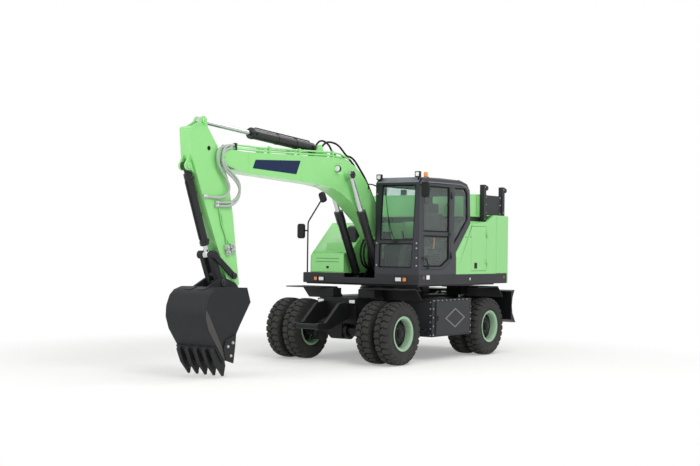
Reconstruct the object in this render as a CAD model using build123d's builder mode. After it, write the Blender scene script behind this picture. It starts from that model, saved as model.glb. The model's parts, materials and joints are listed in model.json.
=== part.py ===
from build123d import *
import os
from math import atan2, cos, degrees, hypot, radians, sin

# Wheeled excavator.  Millimetres, +X forward, +Y to the left, +Z up.
# Origin: on the ground, in the centre plane, under the front axle.

os.makedirs("parts", exist_ok=True)

# ---------------------------------------------------------------- driving sizes
# Wheels and axles
WHEELBASE = 2900
TYRE_R = 530
TYRE_W = 270
RIM_R = 254
FLANGE_R = 294
RIM_WALL = 14
TWIN_OUT = 1150
TWIN_IN = 780
SEAT_HALF = 118        # half width of the tyre at the rim
SIDES = 24             # facets of a tyre and its rim
HUB_R = 150
CAP_R = 45
KING_Y = 560
KNUCKLE_R = 70
KING_CAP_R = 15        # the king pin's round cap
KING_STEP = 8
HUB_FACE = 635
SPINDLE_R = 115
AXLE_TUBE_R = 90
DIFF_R = 165
RUN = 0.3            # seat gap between pieces that turn on each other
CLEAR = 6            # gap between moving pieces elsewhere

# Chassis
FRAME_HALF = 330
FRAME_LOW = 640
DECK_Z = 1095
FRAME_FRONT = 130
FRAME_REAR = -WHEELBASE - 160
PLATE_T = 30
SWING_X = -1450
RING_R = 540
RING_LOW = 1190
RING_MID = 1245
UPPER_Z = 1300
SWIVEL_R = 90        # oil swivel in the middle of the slewing ring

# Boxes between the axles
BOX_FRONT_ROOM = 440    # from the front tyres
BOX_REAR_ROOM = 80      # from the rear tyres
BOX_FRONT = -TYRE_R - BOX_FRONT_ROOM
BOX_LENGTH = WHEELBASE - 2 * TYRE_R - BOX_FRONT_ROOM - BOX_REAR_ROOM
BOX_LOW = 420
BOX_TOP = 1070
BOX_IN = 560
BOX_OUT = 1230
BOX_WALL = 20
BOX_RIM = 110

# Mudguards
GUARD_IN = 440
GUARD_OUT = 1225
GUARD_T = 20
GUARD_Z = 1268

# Blade at the rear
BLADE_PIVOT = (-WHEELBASE - 220, 600)
BLADE_PIN = (-WHEELBASE - 790, 780)
LINK_RISE = 300
BLADE_FACE = -WHEELBASE - 845
BLADE_LOW = 560
BLADE_TOP = 1185
BLADE_HALF = 1270
BLADE_CYL_Y = 200
BLADE_EYE_HALF = 56        # wider than the barrel, so that it passes between the cheeks
BLADE_LANE = 300
BLADE_CYL_R = 50
BLADE_ROD_R = 28
BLADE_BARREL = 430
BLADE_STROKE_IN = 290      # how far the rod draws in from rest

# Upper structure
FLOOR_T = 40
SKIRT_LOW = 1320
SKIRT_TOP = 1505
SKIRT_T = 50
UPPER_HALF = 1250
UPPER_FRONT = -480
UPPER_REAR = -3180
SKIRT_REAR = -3600
WEIGHT_SIDE = -3640
WEIGHT_REAR = -3780
WEIGHT_TOP = 2600
BODY_TOP = 2470
CHEEK_T = 40
WALL = 50
CAB_IN = 330
CAB_OUT = UPPER_HALF - 10
GAP = 6
HINGE_R = 12
HINGE_OUT = HINGE_R + RUN    # hinge centre outside the face that carries it
HINGE_LENGTH = 60
LEAF = 7                     # thickness of a hinge leaf
DOOR_REACH = 22              # from an overlaid door's edge to its hinge centre

# Working arm: pins as (x, z)
BOOM_FOOT = (-1200, 1800)
BOOM_TIP = (3240, 3290)
BOOM_HALF = 160
LIFT_BASE = (-800, 1420)
LIFT_PIN = (140, 3200)
LIFT_Y = 245
LIFT_R = 72
LIFT_ROD_R = 42
LIFT_BARREL = 1320
HEAD_LENGTH = 230      # thicker head at a barrel's open end
HEAD_STEP = 8          # how much thicker
LIFT_STROKE_IN = 395
CROWD_BASE = (770, 3600)
CROWD_PIN = (3600, 3800)
CROWD_R = 82
CROWD_ROD_R = 36
CROWD_BARREL = 1710
CROWD_STROKE_IN = 735
ARM_HALF = 115
ARM_TIP = (2900, 1210)
TILT_BASE = (3905, 3120)
TILT_PIN = (3410, 1820)
TILT_R = 62
TILT_ROD_R = 38
TILT_BARREL = 1235
TILT_STROKE_IN = 70
ROCKER_PIN = (2970, 1500)
HOOK_PIN = (3230, 1400)
PIN_R = 40
BUCKET_HALF = 400
BUCKET_T = 20
EYE_HALF = 45        # half width of a cylinder's eye
EAR_PLATE = 30       # plate that holds a cylinder's pin


# ---------------------------------------------------------------- small helpers
def side(y):
    """Sketch plane at lateral place y; extruding goes towards -Y."""
    return Plane.XZ.offset(-y)


def outline(points):
    """A closed face through (x, z) points of the current sketch."""
    Polygon(*points, align=None)


def disc(centre, radius, mode=Mode.ADD):
    """A round face in the current sketch."""
    with Locations(centre):
        Circle(radius, mode=mode)


def lug(start, end, radius):
    """A straight bar with round ends between two pins, in the current sketch."""
    middle = ((start[0] + end[0]) / 2, (start[1] + end[1]) / 2)
    length = hypot(end[0] - start[0], end[1] - start[1])
    turn = degrees(atan2(end[1] - start[1], end[0] - start[0]))
    with Locations(Location((middle[0], middle[1]), turn)):
        SlotCenterToCenter(length, 2 * radius)


def along(start, end, share):
    """The point at a share of the way from one pin to another."""
    return (start[0] + (end[0] - start[0]) * share, start[1] + (end[1] - start[1]) * share)


def hinge(x, face, turn, heights, leaf):
    """Door half of upright hinges: a round knuckle and a leaf that runs along +X to the door."""
    for z in heights:
        with Locations((x, turn * (face + HINGE_OUT), z)):
            Cylinder(HINGE_R, HINGE_LENGTH)
        with Locations((x + leaf / 2, turn * (face + RUN + LEAF / 2), z)):
            Box(leaf, LEAF, HINGE_LENGTH)


def hinge_seat(x, face, turn, heights):
    """Fixed half of upright hinges: a block under each knuckle, on the face that carries it."""
    for z in heights:
        with Locations((x - HINGE_R, turn * (face + HINGE_R), z - HINGE_LENGTH - RUN)):
            Box(2 * HINGE_R, 2 * HINGE_R, HINGE_LENGTH)


def facets(radius, sides=16, mode=Mode.ADD):
    """A round drawn with flats, one of them level at the bottom; the radius is across the flats."""
    RegularPolygon(radius, sides, major_radius=False, rotation=90 - 180 / sides, mode=mode)


def boss(centre, radius, sides=12):
    """A boss drawn with flats at a pin, in the current sketch."""
    with Locations(centre):
        facets(radius, sides)


def span(start, end):
    """Distance between two pins."""
    return hypot(end[0] - start[0], end[1] - start[1])


def line_plane(start, end, y):
    """Plane whose normal runs from start to end, in the plane at lateral place y."""
    step = (end[0] - start[0], 0, end[1] - start[1])
    return Plane(origin=(start[0], y, start[1]), x_dir=(0, 1, 0), z_dir=step)


# ---------------------------------------------------------------- chassis
REAR_X = -WHEELBASE
AXLE_Z = TYRE_R

with BuildPart() as chassis:
    with BuildSketch(side(FRAME_HALF)):
        outline([(FRAME_FRONT, FRAME_LOW + 60), (-450, FRAME_LOW + 60), (-620, FRAME_LOW),
                 (REAR_X + 600, FRAME_LOW), (REAR_X + 450, FRAME_LOW + 60), (FRAME_REAR, FRAME_LOW + 60),
                 (FRAME_REAR, DECK_Z), (FRAME_FRONT, DECK_Z)])
    extrude(amount=2 * FRAME_HALF)
    with BuildSketch(Plane.XY.offset(DECK_Z)):
        with Locations((SWING_X, 0)):
            facets(RING_R + 30, 30)
    extrude(amount=RING_LOW - DECK_Z)
    with BuildSketch(Plane.YZ.offset(FRAME_FRONT)):
        with Locations((0, 875)):
            RectangleRounded(810, 420, 40)
    extrude(amount=PLATE_T)
    # tow holes through the front plate's ears
    with BuildSketch(Plane.YZ.offset(FRAME_FRONT + PLATE_T)):
        with Locations((365, 985), (-365, 985)):
            Circle(22)
    extrude(amount=-PLATE_T, mode=Mode.SUBTRACT)
    # bucket rest: two hooked arms and a round bar
    for y in (270, -210):
        with BuildSketch(side(y)):
            outline([(FRAME_FRONT + PLATE_T, 1040), (430, 1010), (800, 700), (990, 700),
                     (990, 590), (680, 590), (FRAME_FRONT + PLATE_T, 760)])
            boss((990, 645), 55)
        extrude(amount=60)
    with BuildSketch(side(270)):
        boss((990, 645), 45)
    extrude(amount=540)
    # brackets that carry the boxes, and the cheeks that carry the blade
    for x in (BOX_FRONT - 160, BOX_FRONT - BOX_LENGTH + 160):
        with BuildSketch(Plane.YZ.offset(x)):
            with Locations((0, 860)):
                Rectangle(2 * BOX_IN, 240)
        extrude(amount=40, both=True)
    for y in (BLADE_LANE, -BLADE_CYL_Y - BLADE_EYE_HALF - RUN):
        with BuildSketch(side(y)):
            outline([(REAR_X, FRAME_LOW + 60), (REAR_X, 1060), (FRAME_REAR, 1060),
                     (BLADE_PIVOT[0] - 60, 960), (BLADE_PIVOT[0] - 60, 560), (BLADE_PIVOT[0] - 30, 540),
                     (BLADE_PIVOT[0] + 40, 540), (BLADE_PIVOT[0] + 70, 700)])
        extrude(amount=BLADE_LANE - BLADE_CYL_Y - BLADE_EYE_HALF - RUN)
chassis.part.label = "chassis_frame"
export_step(chassis.part, "parts/chassis_frame.step")

with BuildPart() as slew:
    with BuildSketch(Plane.XY.offset(RING_LOW)):
        with Locations((SWING_X, 0)):
            facets(RING_R, 30)
            facets(RING_R - 130, 30, Mode.SUBTRACT)
            Circle(SWIVEL_R)
    extrude(amount=RING_MID - RING_LOW - RUN)
slew.part.label = "slew_ring"
export_step(slew.part, "parts/slew_ring.step")

with BuildPart() as guards:
    for x_sign, hub_x in ((1, 0), (-1, REAR_X)):
        for y_sign in (1, -1):
            y_top = GUARD_OUT if y_sign > 0 else -GUARD_IN
            front = 30 if hub_x == 0 else 350
            rear = -450 if hub_x == 0 else -400
            with BuildSketch(side(y_top)):
                outline([(hub_x + front, GUARD_Z), (hub_x + rear, GUARD_Z), (hub_x + rear - 190, 1080),
                         (hub_x + rear - 190, 1080 - GUARD_T * 1.4), (hub_x + rear + 8, GUARD_Z - GUARD_T),
                         (hub_x + front, GUARD_Z - GUARD_T)])
            extrude(amount=GUARD_OUT - GUARD_IN)
            bracket_top = 600 if y_sign > 0 else -FRAME_HALF + 60
            with BuildSketch(side(bracket_top)):
                outline([(hub_x - 100, DECK_Z), (hub_x - 100, GUARD_Z - GUARD_T),
                         (hub_x - 340, GUARD_Z - GUARD_T), (hub_x - 340, DECK_Z)])
            extrude(amount=600 - FRAME_HALF + 60)
guards.part.label = "mudguards"
export_step(guards.part, "parts/mudguards.step")

# boxes between the axles, open at the outside where the door sits
box_mid = BOX_FRONT - BOX_LENGTH / 2
door_length = BOX_LENGTH - 2 * BOX_RIM
box_height = BOX_TOP - BOX_LOW
door_height = box_height - 2 * BOX_WALL - 60
door_z = (BOX_TOP + BOX_LOW) / 2
box_hinge_x = box_mid - (door_length + 30) / 2 - DOOR_REACH
box_hinges = (door_z - 170, door_z + 230)
for name, turn in (("left", 1), ("right", -1)):
    with BuildPart() as box:
        with Locations((box_mid, turn * (BOX_IN + BOX_OUT) / 2, door_z)):
            Box(BOX_LENGTH, BOX_OUT - BOX_IN, box_height)
        with Locations((box_mid, turn * (BOX_IN + BOX_OUT) / 2, door_z)):
            Box(BOX_LENGTH - 2 * BOX_WALL, BOX_OUT - BOX_IN - 2 * BOX_WALL,
                box_height - 2 * BOX_WALL, mode=Mode.SUBTRACT)
        with Locations((box_mid, turn * (BOX_OUT - BOX_WALL / 2), door_z)):
            Box(door_length, BOX_WALL, door_height, mode=Mode.SUBTRACT)
        hinge_seat(box_hinge_x, BOX_OUT, turn, box_hinges)
    box.part.label = f"side_box_{name}"
    export_step(box.part, f"parts/side_box_{name}.step")
    with BuildPart() as door:
        with Locations((box_mid, turn * (BOX_OUT + 12), door_z)):
            Box(door_length + 30, 24 - 2 * RUN, door_height + 30)
        hinge(box_hinge_x, BOX_OUT, turn, box_hinges, DOOR_REACH + 5)
    door.part.label = f"side_box_door_{name}"
    export_step(door.part, f"parts/side_box_door_{name}.step")

with BuildPart() as drive:
    with Locations((SWING_X - 50, 0, AXLE_Z)):
        Box(560, 360, 2 * (FRAME_LOW - AXLE_Z))
    with BuildSketch(Plane.YZ.offset(-DIFF_R)):
        with Locations((0, AXLE_Z)):
            facets(48, 10)
    extrude(amount=-(WHEELBASE - 2 * DIFF_R))
drive.part.label = "transmission"
export_step(drive.part, "parts/transmission.step")

# axles
tube_end = KING_Y - KNUCKLE_R - CLEAR
with BuildPart() as front_axle:
    with BuildSketch(side(tube_end)):
        with Locations((0, AXLE_Z)):
            facets(AXLE_TUBE_R)
    extrude(amount=2 * tube_end)
    with BuildSketch(side(190)):
        with Locations((0, AXLE_Z)):
            facets(DIFF_R - 20)
    extrude(amount=380)
    with Locations((0, 0, AXLE_Z)):
        Box(2 * DIFF_R, 240, 240)
    with Locations((0, 0, FRAME_LOW + 20)):
        Box(260, 300, 80)
    for y_sign in (1, -1):
        for z_sign in (1, -1):
            with Locations((0, y_sign * (KING_Y - 60), AXLE_Z + z_sign * 155)):
                Box(120, 260, 50 - 2 * RUN)
        with Locations((0, y_sign * (tube_end - 60), AXLE_Z)):
            Box(120, 110, 330)
front_axle.part.label = "front_axle"
export_step(front_axle.part, "parts/front_axle.step")

with BuildPart() as rear_axle:
    with BuildSketch(side(HUB_FACE)):
        with Locations((REAR_X, AXLE_Z)):
            facets(AXLE_TUBE_R)
    extrude(amount=2 * HUB_FACE)
    with Locations((REAR_X, 0, AXLE_Z)):
        Box(2 * DIFF_R, 380, 270)
    with Locations((REAR_X, 0, FRAME_LOW + 20)):
        Box(260, 560, 80)
rear_axle.part.label = "rear_axle"
export_step(rear_axle.part, "parts/rear_axle.step")

for name, turn in (("left", 1), ("right", -1)):
    with BuildPart() as knuckle:
        with BuildSketch(Plane.XY.offset(AXLE_Z - 130)):
            with Locations((0, turn * KING_Y)):
                facets(KNUCKLE_R, 12)
        extrude(amount=260 - KING_STEP)
        with Locations((0, turn * KING_Y, AXLE_Z + 130 - KING_STEP / 2)):
            Cylinder(KING_CAP_R, KING_STEP)
        with BuildSketch(side(HUB_FACE if turn > 0 else -KING_Y)):
            with Locations((0, AXLE_Z)):
                facets(SPINDLE_R)
        extrude(amount=HUB_FACE - KING_Y)
    knuckle.part.label = f"knuckle_{name}"
    export_step(knuckle.part, f"parts/knuckle_{name}.step")

# wheels: twin tyres and twin rims on one hub, drawn with flats
def across(hub_x, turn, place):
    """Plane square to a wheel's axis at a lateral place, facing outwards."""
    return Plane((hub_x, turn * place, AXLE_Z), x_dir=(1, 0, 0), z_dir=(0, turn, 0))


TREAD_DROP = 100       # the tread's shoulder is cut back this far down the side
TREAD_CUT = 30
FLANGE_T = 12
DISC_AT = TWIN_OUT - 80
HUB_OUT = TWIN_OUT - 15    # the hub's outer face
CAP_T = 25
corners = (("front_left", 0, 1), ("front_right", 0, -1),
           ("rear_left", REAR_X, 1), ("rear_right", REAR_X, -1))
for name, hub_x, turn in corners:
    with BuildPart() as tyres:
        for centre in (TWIN_IN, TWIN_OUT):
            with BuildSketch(across(hub_x, turn, centre - TYRE_W / 2)):
                facets(TYRE_R, SIDES)
            extrude(amount=TYRE_W)
            for place in (centre - TYRE_W / 2, centre + TYRE_W / 2):
                wall = tyres.faces().sort_by_distance((hub_x, turn * place, AXLE_Z))[0]
                chamfer(wall.edges(), length=TREAD_DROP, length2=TREAD_CUT, reference=wall)
            with BuildSketch(across(hub_x, turn, centre - TYRE_W / 2)):
                facets(RIM_R + RUN, SIDES)
            extrude(amount=TYRE_W, mode=Mode.SUBTRACT)
            for place in (centre - TYRE_W / 2, centre + SEAT_HALF):
                with BuildSketch(across(hub_x, turn, place)):
                    facets(FLANGE_R + 3, SIDES)
                extrude(amount=TYRE_W / 2 - SEAT_HALF, mode=Mode.SUBTRACT)
    tyres.part.label = f"tyres_{name}"
    export_step(tyres.part, f"parts/tyres_{name}.step")
    with BuildPart() as rims:
        # columns: lateral start, lateral end, outer radius, inner radius, facets
        rings = ((HUB_FACE + RUN, TWIN_IN - SEAT_HALF, SPINDLE_R, 0, 16),
                 (TWIN_IN - SEAT_HALF, DISC_AT, RIM_R, 0, SIDES),
                 (DISC_AT, TWIN_OUT + SEAT_HALF + FLANGE_T, RIM_R, RIM_R - RIM_WALL, SIDES),
                 (TWIN_OUT + SEAT_HALF + RUN, TWIN_OUT + SEAT_HALF + FLANGE_T, FLANGE_R, RIM_R, SIDES),
                 (DISC_AT, HUB_OUT, HUB_R, 0, 16))
        for start, end, outer, inner, sides in rings:
            with BuildSketch(across(hub_x, turn, start)):
                facets(outer, sides)
                if inner:
                    facets(inner, sides, Mode.SUBTRACT)
            extrude(amount=end - start)
        with BuildSketch(across(hub_x, turn, HUB_OUT)):
            Circle(CAP_R)
        extrude(amount=CAP_T)
    rims.part.label = f"rims_{name}"
    export_step(rims.part, f"parts/rims_{name}.step")

# blade and its parallel linkage
LINK_PIVOT = (BLADE_PIVOT[0], BLADE_PIVOT[1] + LINK_RISE)
LINK_PIN = (BLADE_PIN[0], BLADE_PIN[1] + LINK_RISE)
with BuildPart() as blade_arms:
    for y in (300 + 45 + RUN, -300 - RUN):
        with BuildSketch(side(y)):
            lug(BLADE_PIVOT, BLADE_PIN, 48)
        extrude(amount=45)
    with BuildSketch(side(345)):
        boss(along(BLADE_PIVOT, BLADE_PIN, 0.5), 40, 8)
    extrude(amount=690)
blade_arms.part.label = "blade_arms"
export_step(blade_arms.part, "parts/blade_arms.step")
with BuildPart() as blade_links:
    for y in (300 + 45 + RUN, -300 - RUN):
        with BuildSketch(side(y)):
            lug(LINK_PIVOT, LINK_PIN, 40)
        extrude(amount=45)
blade_links.part.label = "blade_links"
export_step(blade_links.part, "parts/blade_links.step")
with BuildPart() as blade:
    with BuildSketch(side(BLADE_HALF)):
        outline([(BLADE_FACE, BLADE_TOP - 20), (BLADE_FACE, BLADE_LOW + 60), (BLADE_FACE - 145, BLADE_LOW),
                 (BLADE_FACE - 180, BLADE_LOW), (BLADE_FACE - 55, BLADE_LOW + 180), (BLADE_FACE - 30, 880),
                 (BLADE_FACE - 55, 1050), (BLADE_FACE - 135, BLADE_TOP), (BLADE_FACE - 105, BLADE_TOP)])
    extrude(amount=2 * BLADE_HALF)
    ear_in = BLADE_CYL_Y + BLADE_EYE_HALF + RUN
    arm_out = BLADE_LANE + 45 + 2 * RUN
    # columns: outer face, thickness
    for y, thick in ((arm_out + 40, 40), (-arm_out, 40), (BLADE_LANE, BLADE_LANE - ear_in),
                     (-ear_in, BLADE_LANE - ear_in)):
        with BuildSketch(side(y)):
            outline([(BLADE_FACE, 1130), (BLADE_PIN[0], 1130), (BLADE_PIN[0] + 50, 1080),
                     (BLADE_PIN[0] + 50, 780), (BLADE_PIN[0], 725), (BLADE_FACE, 700)])
        extrude(amount=thick)
blade.part.label = "blade"
export_step(blade.part, "parts/blade.step")
BLADE_CYL_LENGTH = span(BLADE_PIVOT, LINK_PIN)
with BuildPart() as blade_barrels:
    for y in (BLADE_CYL_Y, -BLADE_CYL_Y):
        with BuildSketch(side(y + BLADE_EYE_HALF)):
            disc(BLADE_PIVOT, 45)
        extrude(amount=2 * BLADE_EYE_HALF)
        with BuildSketch(line_plane(along(BLADE_PIVOT, LINK_PIN, 40 / BLADE_CYL_LENGTH), LINK_PIN, y)):
            facets(BLADE_CYL_R)
        extrude(amount=BLADE_BARREL - 40)
        with BuildSketch(line_plane(along(BLADE_PIVOT, LINK_PIN, 75 / BLADE_CYL_LENGTH), LINK_PIN, y)):
            facets(BLADE_ROD_R + RUN, 12)
        extrude(amount=BLADE_BARREL - 75, mode=Mode.SUBTRACT)
blade_barrels.part.label = "blade_barrels"
export_step(blade_barrels.part, "parts/blade_barrels.step")
with BuildPart() as blade_rods:
    for y in (BLADE_CYL_Y, -BLADE_CYL_Y):
        with BuildSketch(side(y + BLADE_EYE_HALF)):
            boss(LINK_PIN, 42)
        extrude(amount=2 * BLADE_EYE_HALF)
        with BuildSketch(line_plane(LINK_PIN, BLADE_PIVOT, y)):
            facets(BLADE_ROD_R, 12)
        extrude(amount=BLADE_CYL_LENGTH - 75 - BLADE_STROKE_IN)
blade_rods.part.label = "blade_rods"
export_step(blade_rods.part, "parts/blade_rods.step")

# ---------------------------------------------------------------- upper structure
CHEEK_IN = BOOM_HALF + 10 + RUN
with BuildPart() as upper:
    with BuildSketch(Plane.XY.offset(UPPER_Z)):
        with Locations(((UPPER_FRONT - SKIRT_T + UPPER_REAR) / 2, 0)):
            Rectangle(UPPER_FRONT - SKIRT_T - UPPER_REAR, 2 * (UPPER_HALF - SKIRT_T))
    extrude(amount=FLOOR_T)
    with BuildSketch(Plane.XY.offset(RING_MID)):
        with Locations((SWING_X, 0)):
            facets(RING_R - 20, 30)
    extrude(amount=UPPER_Z - RING_MID)
    for y in (CHEEK_IN + CHEEK_T, -CHEEK_IN):
        with BuildSketch(side(y)):
            outline([(-2400, UPPER_Z), (-2400, 1500), (-1340, 1860), (-1290, 1910), (-1110, 1910),
                     (-1050, 1840), (-1050, 1600), (-930, 1480), (-870, LIFT_BASE[1]), (-730, LIFT_BASE[1]),
                     (-700, UPPER_Z)])
            boss(LIFT_BASE, 85)
        extrude(amount=CHEEK_T)
    for y in (LIFT_Y + 30 + RUN + 30, -LIFT_Y - 30 - RUN):
        with BuildSketch(side(y)):
            outline([(-910, UPPER_Z), (-870, LIFT_BASE[1]), (-730, LIFT_BASE[1]), (-690, UPPER_Z)])
            boss(LIFT_BASE, 70)
        extrude(amount=30)
upper.part.label = "upper_frame"
export_step(upper.part, "parts/upper_frame.step")

with BuildPart() as skirts:
    with BuildSketch(Plane.XY.offset(SKIRT_LOW)):
        with Locations(((UPPER_FRONT + SKIRT_REAR) / 2, 0)):
            Rectangle(UPPER_FRONT - SKIRT_REAR, 2 * UPPER_HALF)
        with Locations(((UPPER_FRONT - SKIRT_T + SKIRT_REAR) / 2, 0)):
            Rectangle(UPPER_FRONT - SKIRT_T - SKIRT_REAR, 2 * (UPPER_HALF - SKIRT_T), mode=Mode.SUBTRACT)
    extrude(amount=SKIRT_TOP - SKIRT_LOW)
    with Locations((UPPER_FRONT - SKIRT_T / 2, 0, SKIRT_TOP)):
        Box(SKIRT_T + 2, 2 * CAB_IN, 140, mode=Mode.SUBTRACT)
skirts.part.label = "skirts"
export_step(skirts.part, "parts/skirts.step")

with BuildPart() as weight:
    with BuildSketch(Plane.XY.offset(SKIRT_LOW)):
        with BuildLine():
            Polyline((UPPER_REAR, -UPPER_HALF), (UPPER_REAR, UPPER_HALF), (WEIGHT_SIDE, UPPER_HALF))
            ThreePointArc((WEIGHT_SIDE, UPPER_HALF), (WEIGHT_REAR, 0), (WEIGHT_SIDE, -UPPER_HALF))
            Line((WEIGHT_SIDE, -UPPER_HALF), (UPPER_REAR, -UPPER_HALF))
        make_face()
    extrude(amount=WEIGHT_TOP - SKIRT_LOW)
    # the skirts run on along its foot
    for turn in (1, -1):
        with Locations(((UPPER_REAR + SKIRT_REAR) / 2, turn * (UPPER_HALF - SKIRT_T / 2),
                        (SKIRT_LOW + SKIRT_TOP) / 2)):
            Box(UPPER_REAR - SKIRT_REAR, SKIRT_T, SKIRT_TOP - SKIRT_LOW, mode=Mode.SUBTRACT)
weight.part.label = "counterweight"
export_step(weight.part, "parts/counterweight.step")

# cab
CAB_LOW = SKIRT_TOP
cab_side = [(UPPER_FRONT - 20, CAB_LOW), (UPPER_FRONT - 30, 3085), (UPPER_FRONT - 100, 3165),
            (-1880, 3175), (-2080, 3130), (-2180, 3020), (-2215, 2430), (-1720, 1900), (-1720, CAB_LOW)]
DOOR_FRONT = -580
DOOR_REAR = -1540
DOOR_LOW = 1590
DOOR_TOP = 3090
GLASS_T = 8
cab_hinges = (DOOR_LOW + 280, DOOR_TOP - 160)
door_side = [(DOOR_FRONT, DOOR_LOW), (DOOR_FRONT, DOOR_TOP), (DOOR_REAR, DOOR_TOP),
             (DOOR_REAR, DOOR_LOW + 145), (DOOR_REAR + 275, DOOR_LOW)]
door_upper = [(DOOR_FRONT - 60, 2245), (DOOR_FRONT - 60, 3045), (DOOR_REAR + 60, 3045), (DOOR_REAR + 60, 2245)]
door_lower = [(DOOR_FRONT - 60, 2185), (DOOR_FRONT - 60, 1640), (-1230, 1640), (DOOR_REAR + 60, 1770),
              (DOOR_REAR + 60, 2185)]
quarter = [(-1650, 2040), (-1650, 3050), (-2010, 3050), (-2100, 2960), (-2120, 2500), (-2010, 2380)]
far_side = [(-640, 1750), (-640, 3050), (-1980, 3050), (-2060, 3000), (-2080, 2480), (-1720, 2050),
            (-1450, 1750)]
# windscreen panes as (y, z), from the cab's two side faces
screen_upper = [(CAB_IN + 90, 2090), (CAB_IN + 135, 3050), (CAB_OUT - 75, 3050), (CAB_OUT - 120, 2090)]
screen_lower = [(CAB_IN + 75, 1620), (CAB_IN + 85, 2045), (CAB_OUT - 130, 2045), (CAB_OUT - 160, 1620)]
with BuildPart() as cab:
    with BuildSketch(side(CAB_OUT)):
        outline(cab_side)
    extrude(amount=CAB_OUT - CAB_IN)
    with BuildSketch(side(CAB_OUT - WALL)):
        outline(cab_side)
        offset(amount=-WALL, mode=Mode.REPLACE)
    extrude(amount=CAB_OUT - CAB_IN - 2 * WALL, mode=Mode.SUBTRACT)
    # door opening, quarter window, right window, front and rear windows
    with BuildSketch(side(CAB_OUT)):
        outline(door_side)
        outline(quarter)
    extrude(amount=WALL, mode=Mode.SUBTRACT)
    with BuildSketch(side(CAB_IN + WALL)):
        outline(far_side)
    extrude(amount=WALL, mode=Mode.SUBTRACT)
    with BuildSketch(Plane.YZ.offset(UPPER_FRONT + 20)):
        outline(screen_upper)
        outline(screen_lower)
    extrude(amount=-150, mode=Mode.SUBTRACT)
    with BuildSketch(Plane.YZ.offset(-2100)):
        with Locations(((CAB_IN + CAB_OUT) / 2, 2725)):
            Rectangle(CAB_OUT - CAB_IN - 200, 440)
    extrude(amount=-200, mode=Mode.SUBTRACT)
    hinge_seat(DOOR_REAR, CAB_OUT, 1, cab_hinges)
cab.part.label = "cab_shell"
export_step(cab.part, "parts/cab_shell.step")

with BuildPart() as glass:
    with BuildSketch(side(CAB_OUT - 20)):
        outline(quarter)
    extrude(amount=GLASS_T)
    with BuildSketch(side(CAB_IN + 20 + GLASS_T)):
        outline(far_side)
    extrude(amount=GLASS_T)
    with BuildSketch(Plane.YZ.offset(UPPER_FRONT - 40)):
        outline(screen_upper)
        outline(screen_lower)
    extrude(amount=-GLASS_T)
    with BuildSketch(Plane.YZ.offset(-2165)):
        with Locations(((CAB_IN + CAB_OUT) / 2, 2725)):
            Rectangle(CAB_OUT - CAB_IN - 200, 440)
    extrude(amount=-GLASS_T)
glass.part.label = "cab_glass"
export_step(glass.part, "parts/cab_glass.step")

with BuildPart() as cab_door:
    with BuildSketch(side(CAB_OUT)):
        outline(door_side)
        offset(amount=-GAP, mode=Mode.REPLACE)
    extrude(amount=WALL)
    with BuildSketch(side(CAB_OUT)):
        outline(door_upper)
        outline(door_lower)
    extrude(amount=WALL, mode=Mode.SUBTRACT)
    hinge(DOOR_REAR, CAB_OUT, 1, cab_hinges, 55)
cab_door.part.label = "cab_door"
export_step(cab_door.part, "parts/cab_door.step")
with BuildPart() as door_glass:
    with BuildSketch(side(CAB_OUT - 20)):
        outline(door_upper)
        outline(door_lower)
    extrude(amount=GLASS_T)
door_glass.part.label = "cab_door_glass"
export_step(door_glass.part, "parts/cab_door_glass.step")

cab_mid = (CAB_IN + CAB_OUT) / 2
with BuildPart() as seat:
    with Locations((-1420, cab_mid, 1700)):
        Box(460, 420, 2 * (1700 - CAB_LOW - WALL))
    with Locations((-1400, cab_mid, 1920)):
        Box(520, 500, 150)
    with Locations((-1620, cab_mid, 2280)):
        Box(130, 480, 640)
seat.part.label = "seat"
export_step(seat.part, "parts/seat.step")
with BuildPart() as console:
    with BuildSketch(side(cab_mid + 80)):
        outline([(-620, CAB_LOW + WALL), (-620, 1700), (-760, 2032), (-860, 2052), (-780, 1700),
                 (-780, CAB_LOW + WALL)])
    extrude(amount=160)
    with BuildSketch(side(cab_mid + 190)):
        outline([(-600, 2000), (-890, 2058), (-890, 2088), (-600, 2030)])
    extrude(amount=380)
console.part.label = "steering_console"
export_step(console.part, "parts/steering_console.step")

with BuildPart() as cab_base:
    with BuildSketch(Plane.XY.offset(UPPER_Z + FLOOR_T)):
        with Locations(((UPPER_FRONT - SKIRT_T - 1720) / 2, (CAB_IN + UPPER_HALF - SKIRT_T) / 2)):
            Rectangle(UPPER_FRONT - SKIRT_T + 1720, UPPER_HALF - SKIRT_T - CAB_IN)
    extrude(amount=CAB_LOW - UPPER_Z - FLOOR_T)
cab_base.part.label = "cab_base"
export_step(cab_base.part, "parts/cab_base.step")

# toolbox sizes
TOOL_IN = 345
TOOL_OUT = 1040
TOOL_TOP = 1835
TOOL_FRONT = -510
TOOL_WALL = 20
LID_T = 20
LID_LIP = 10

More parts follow.
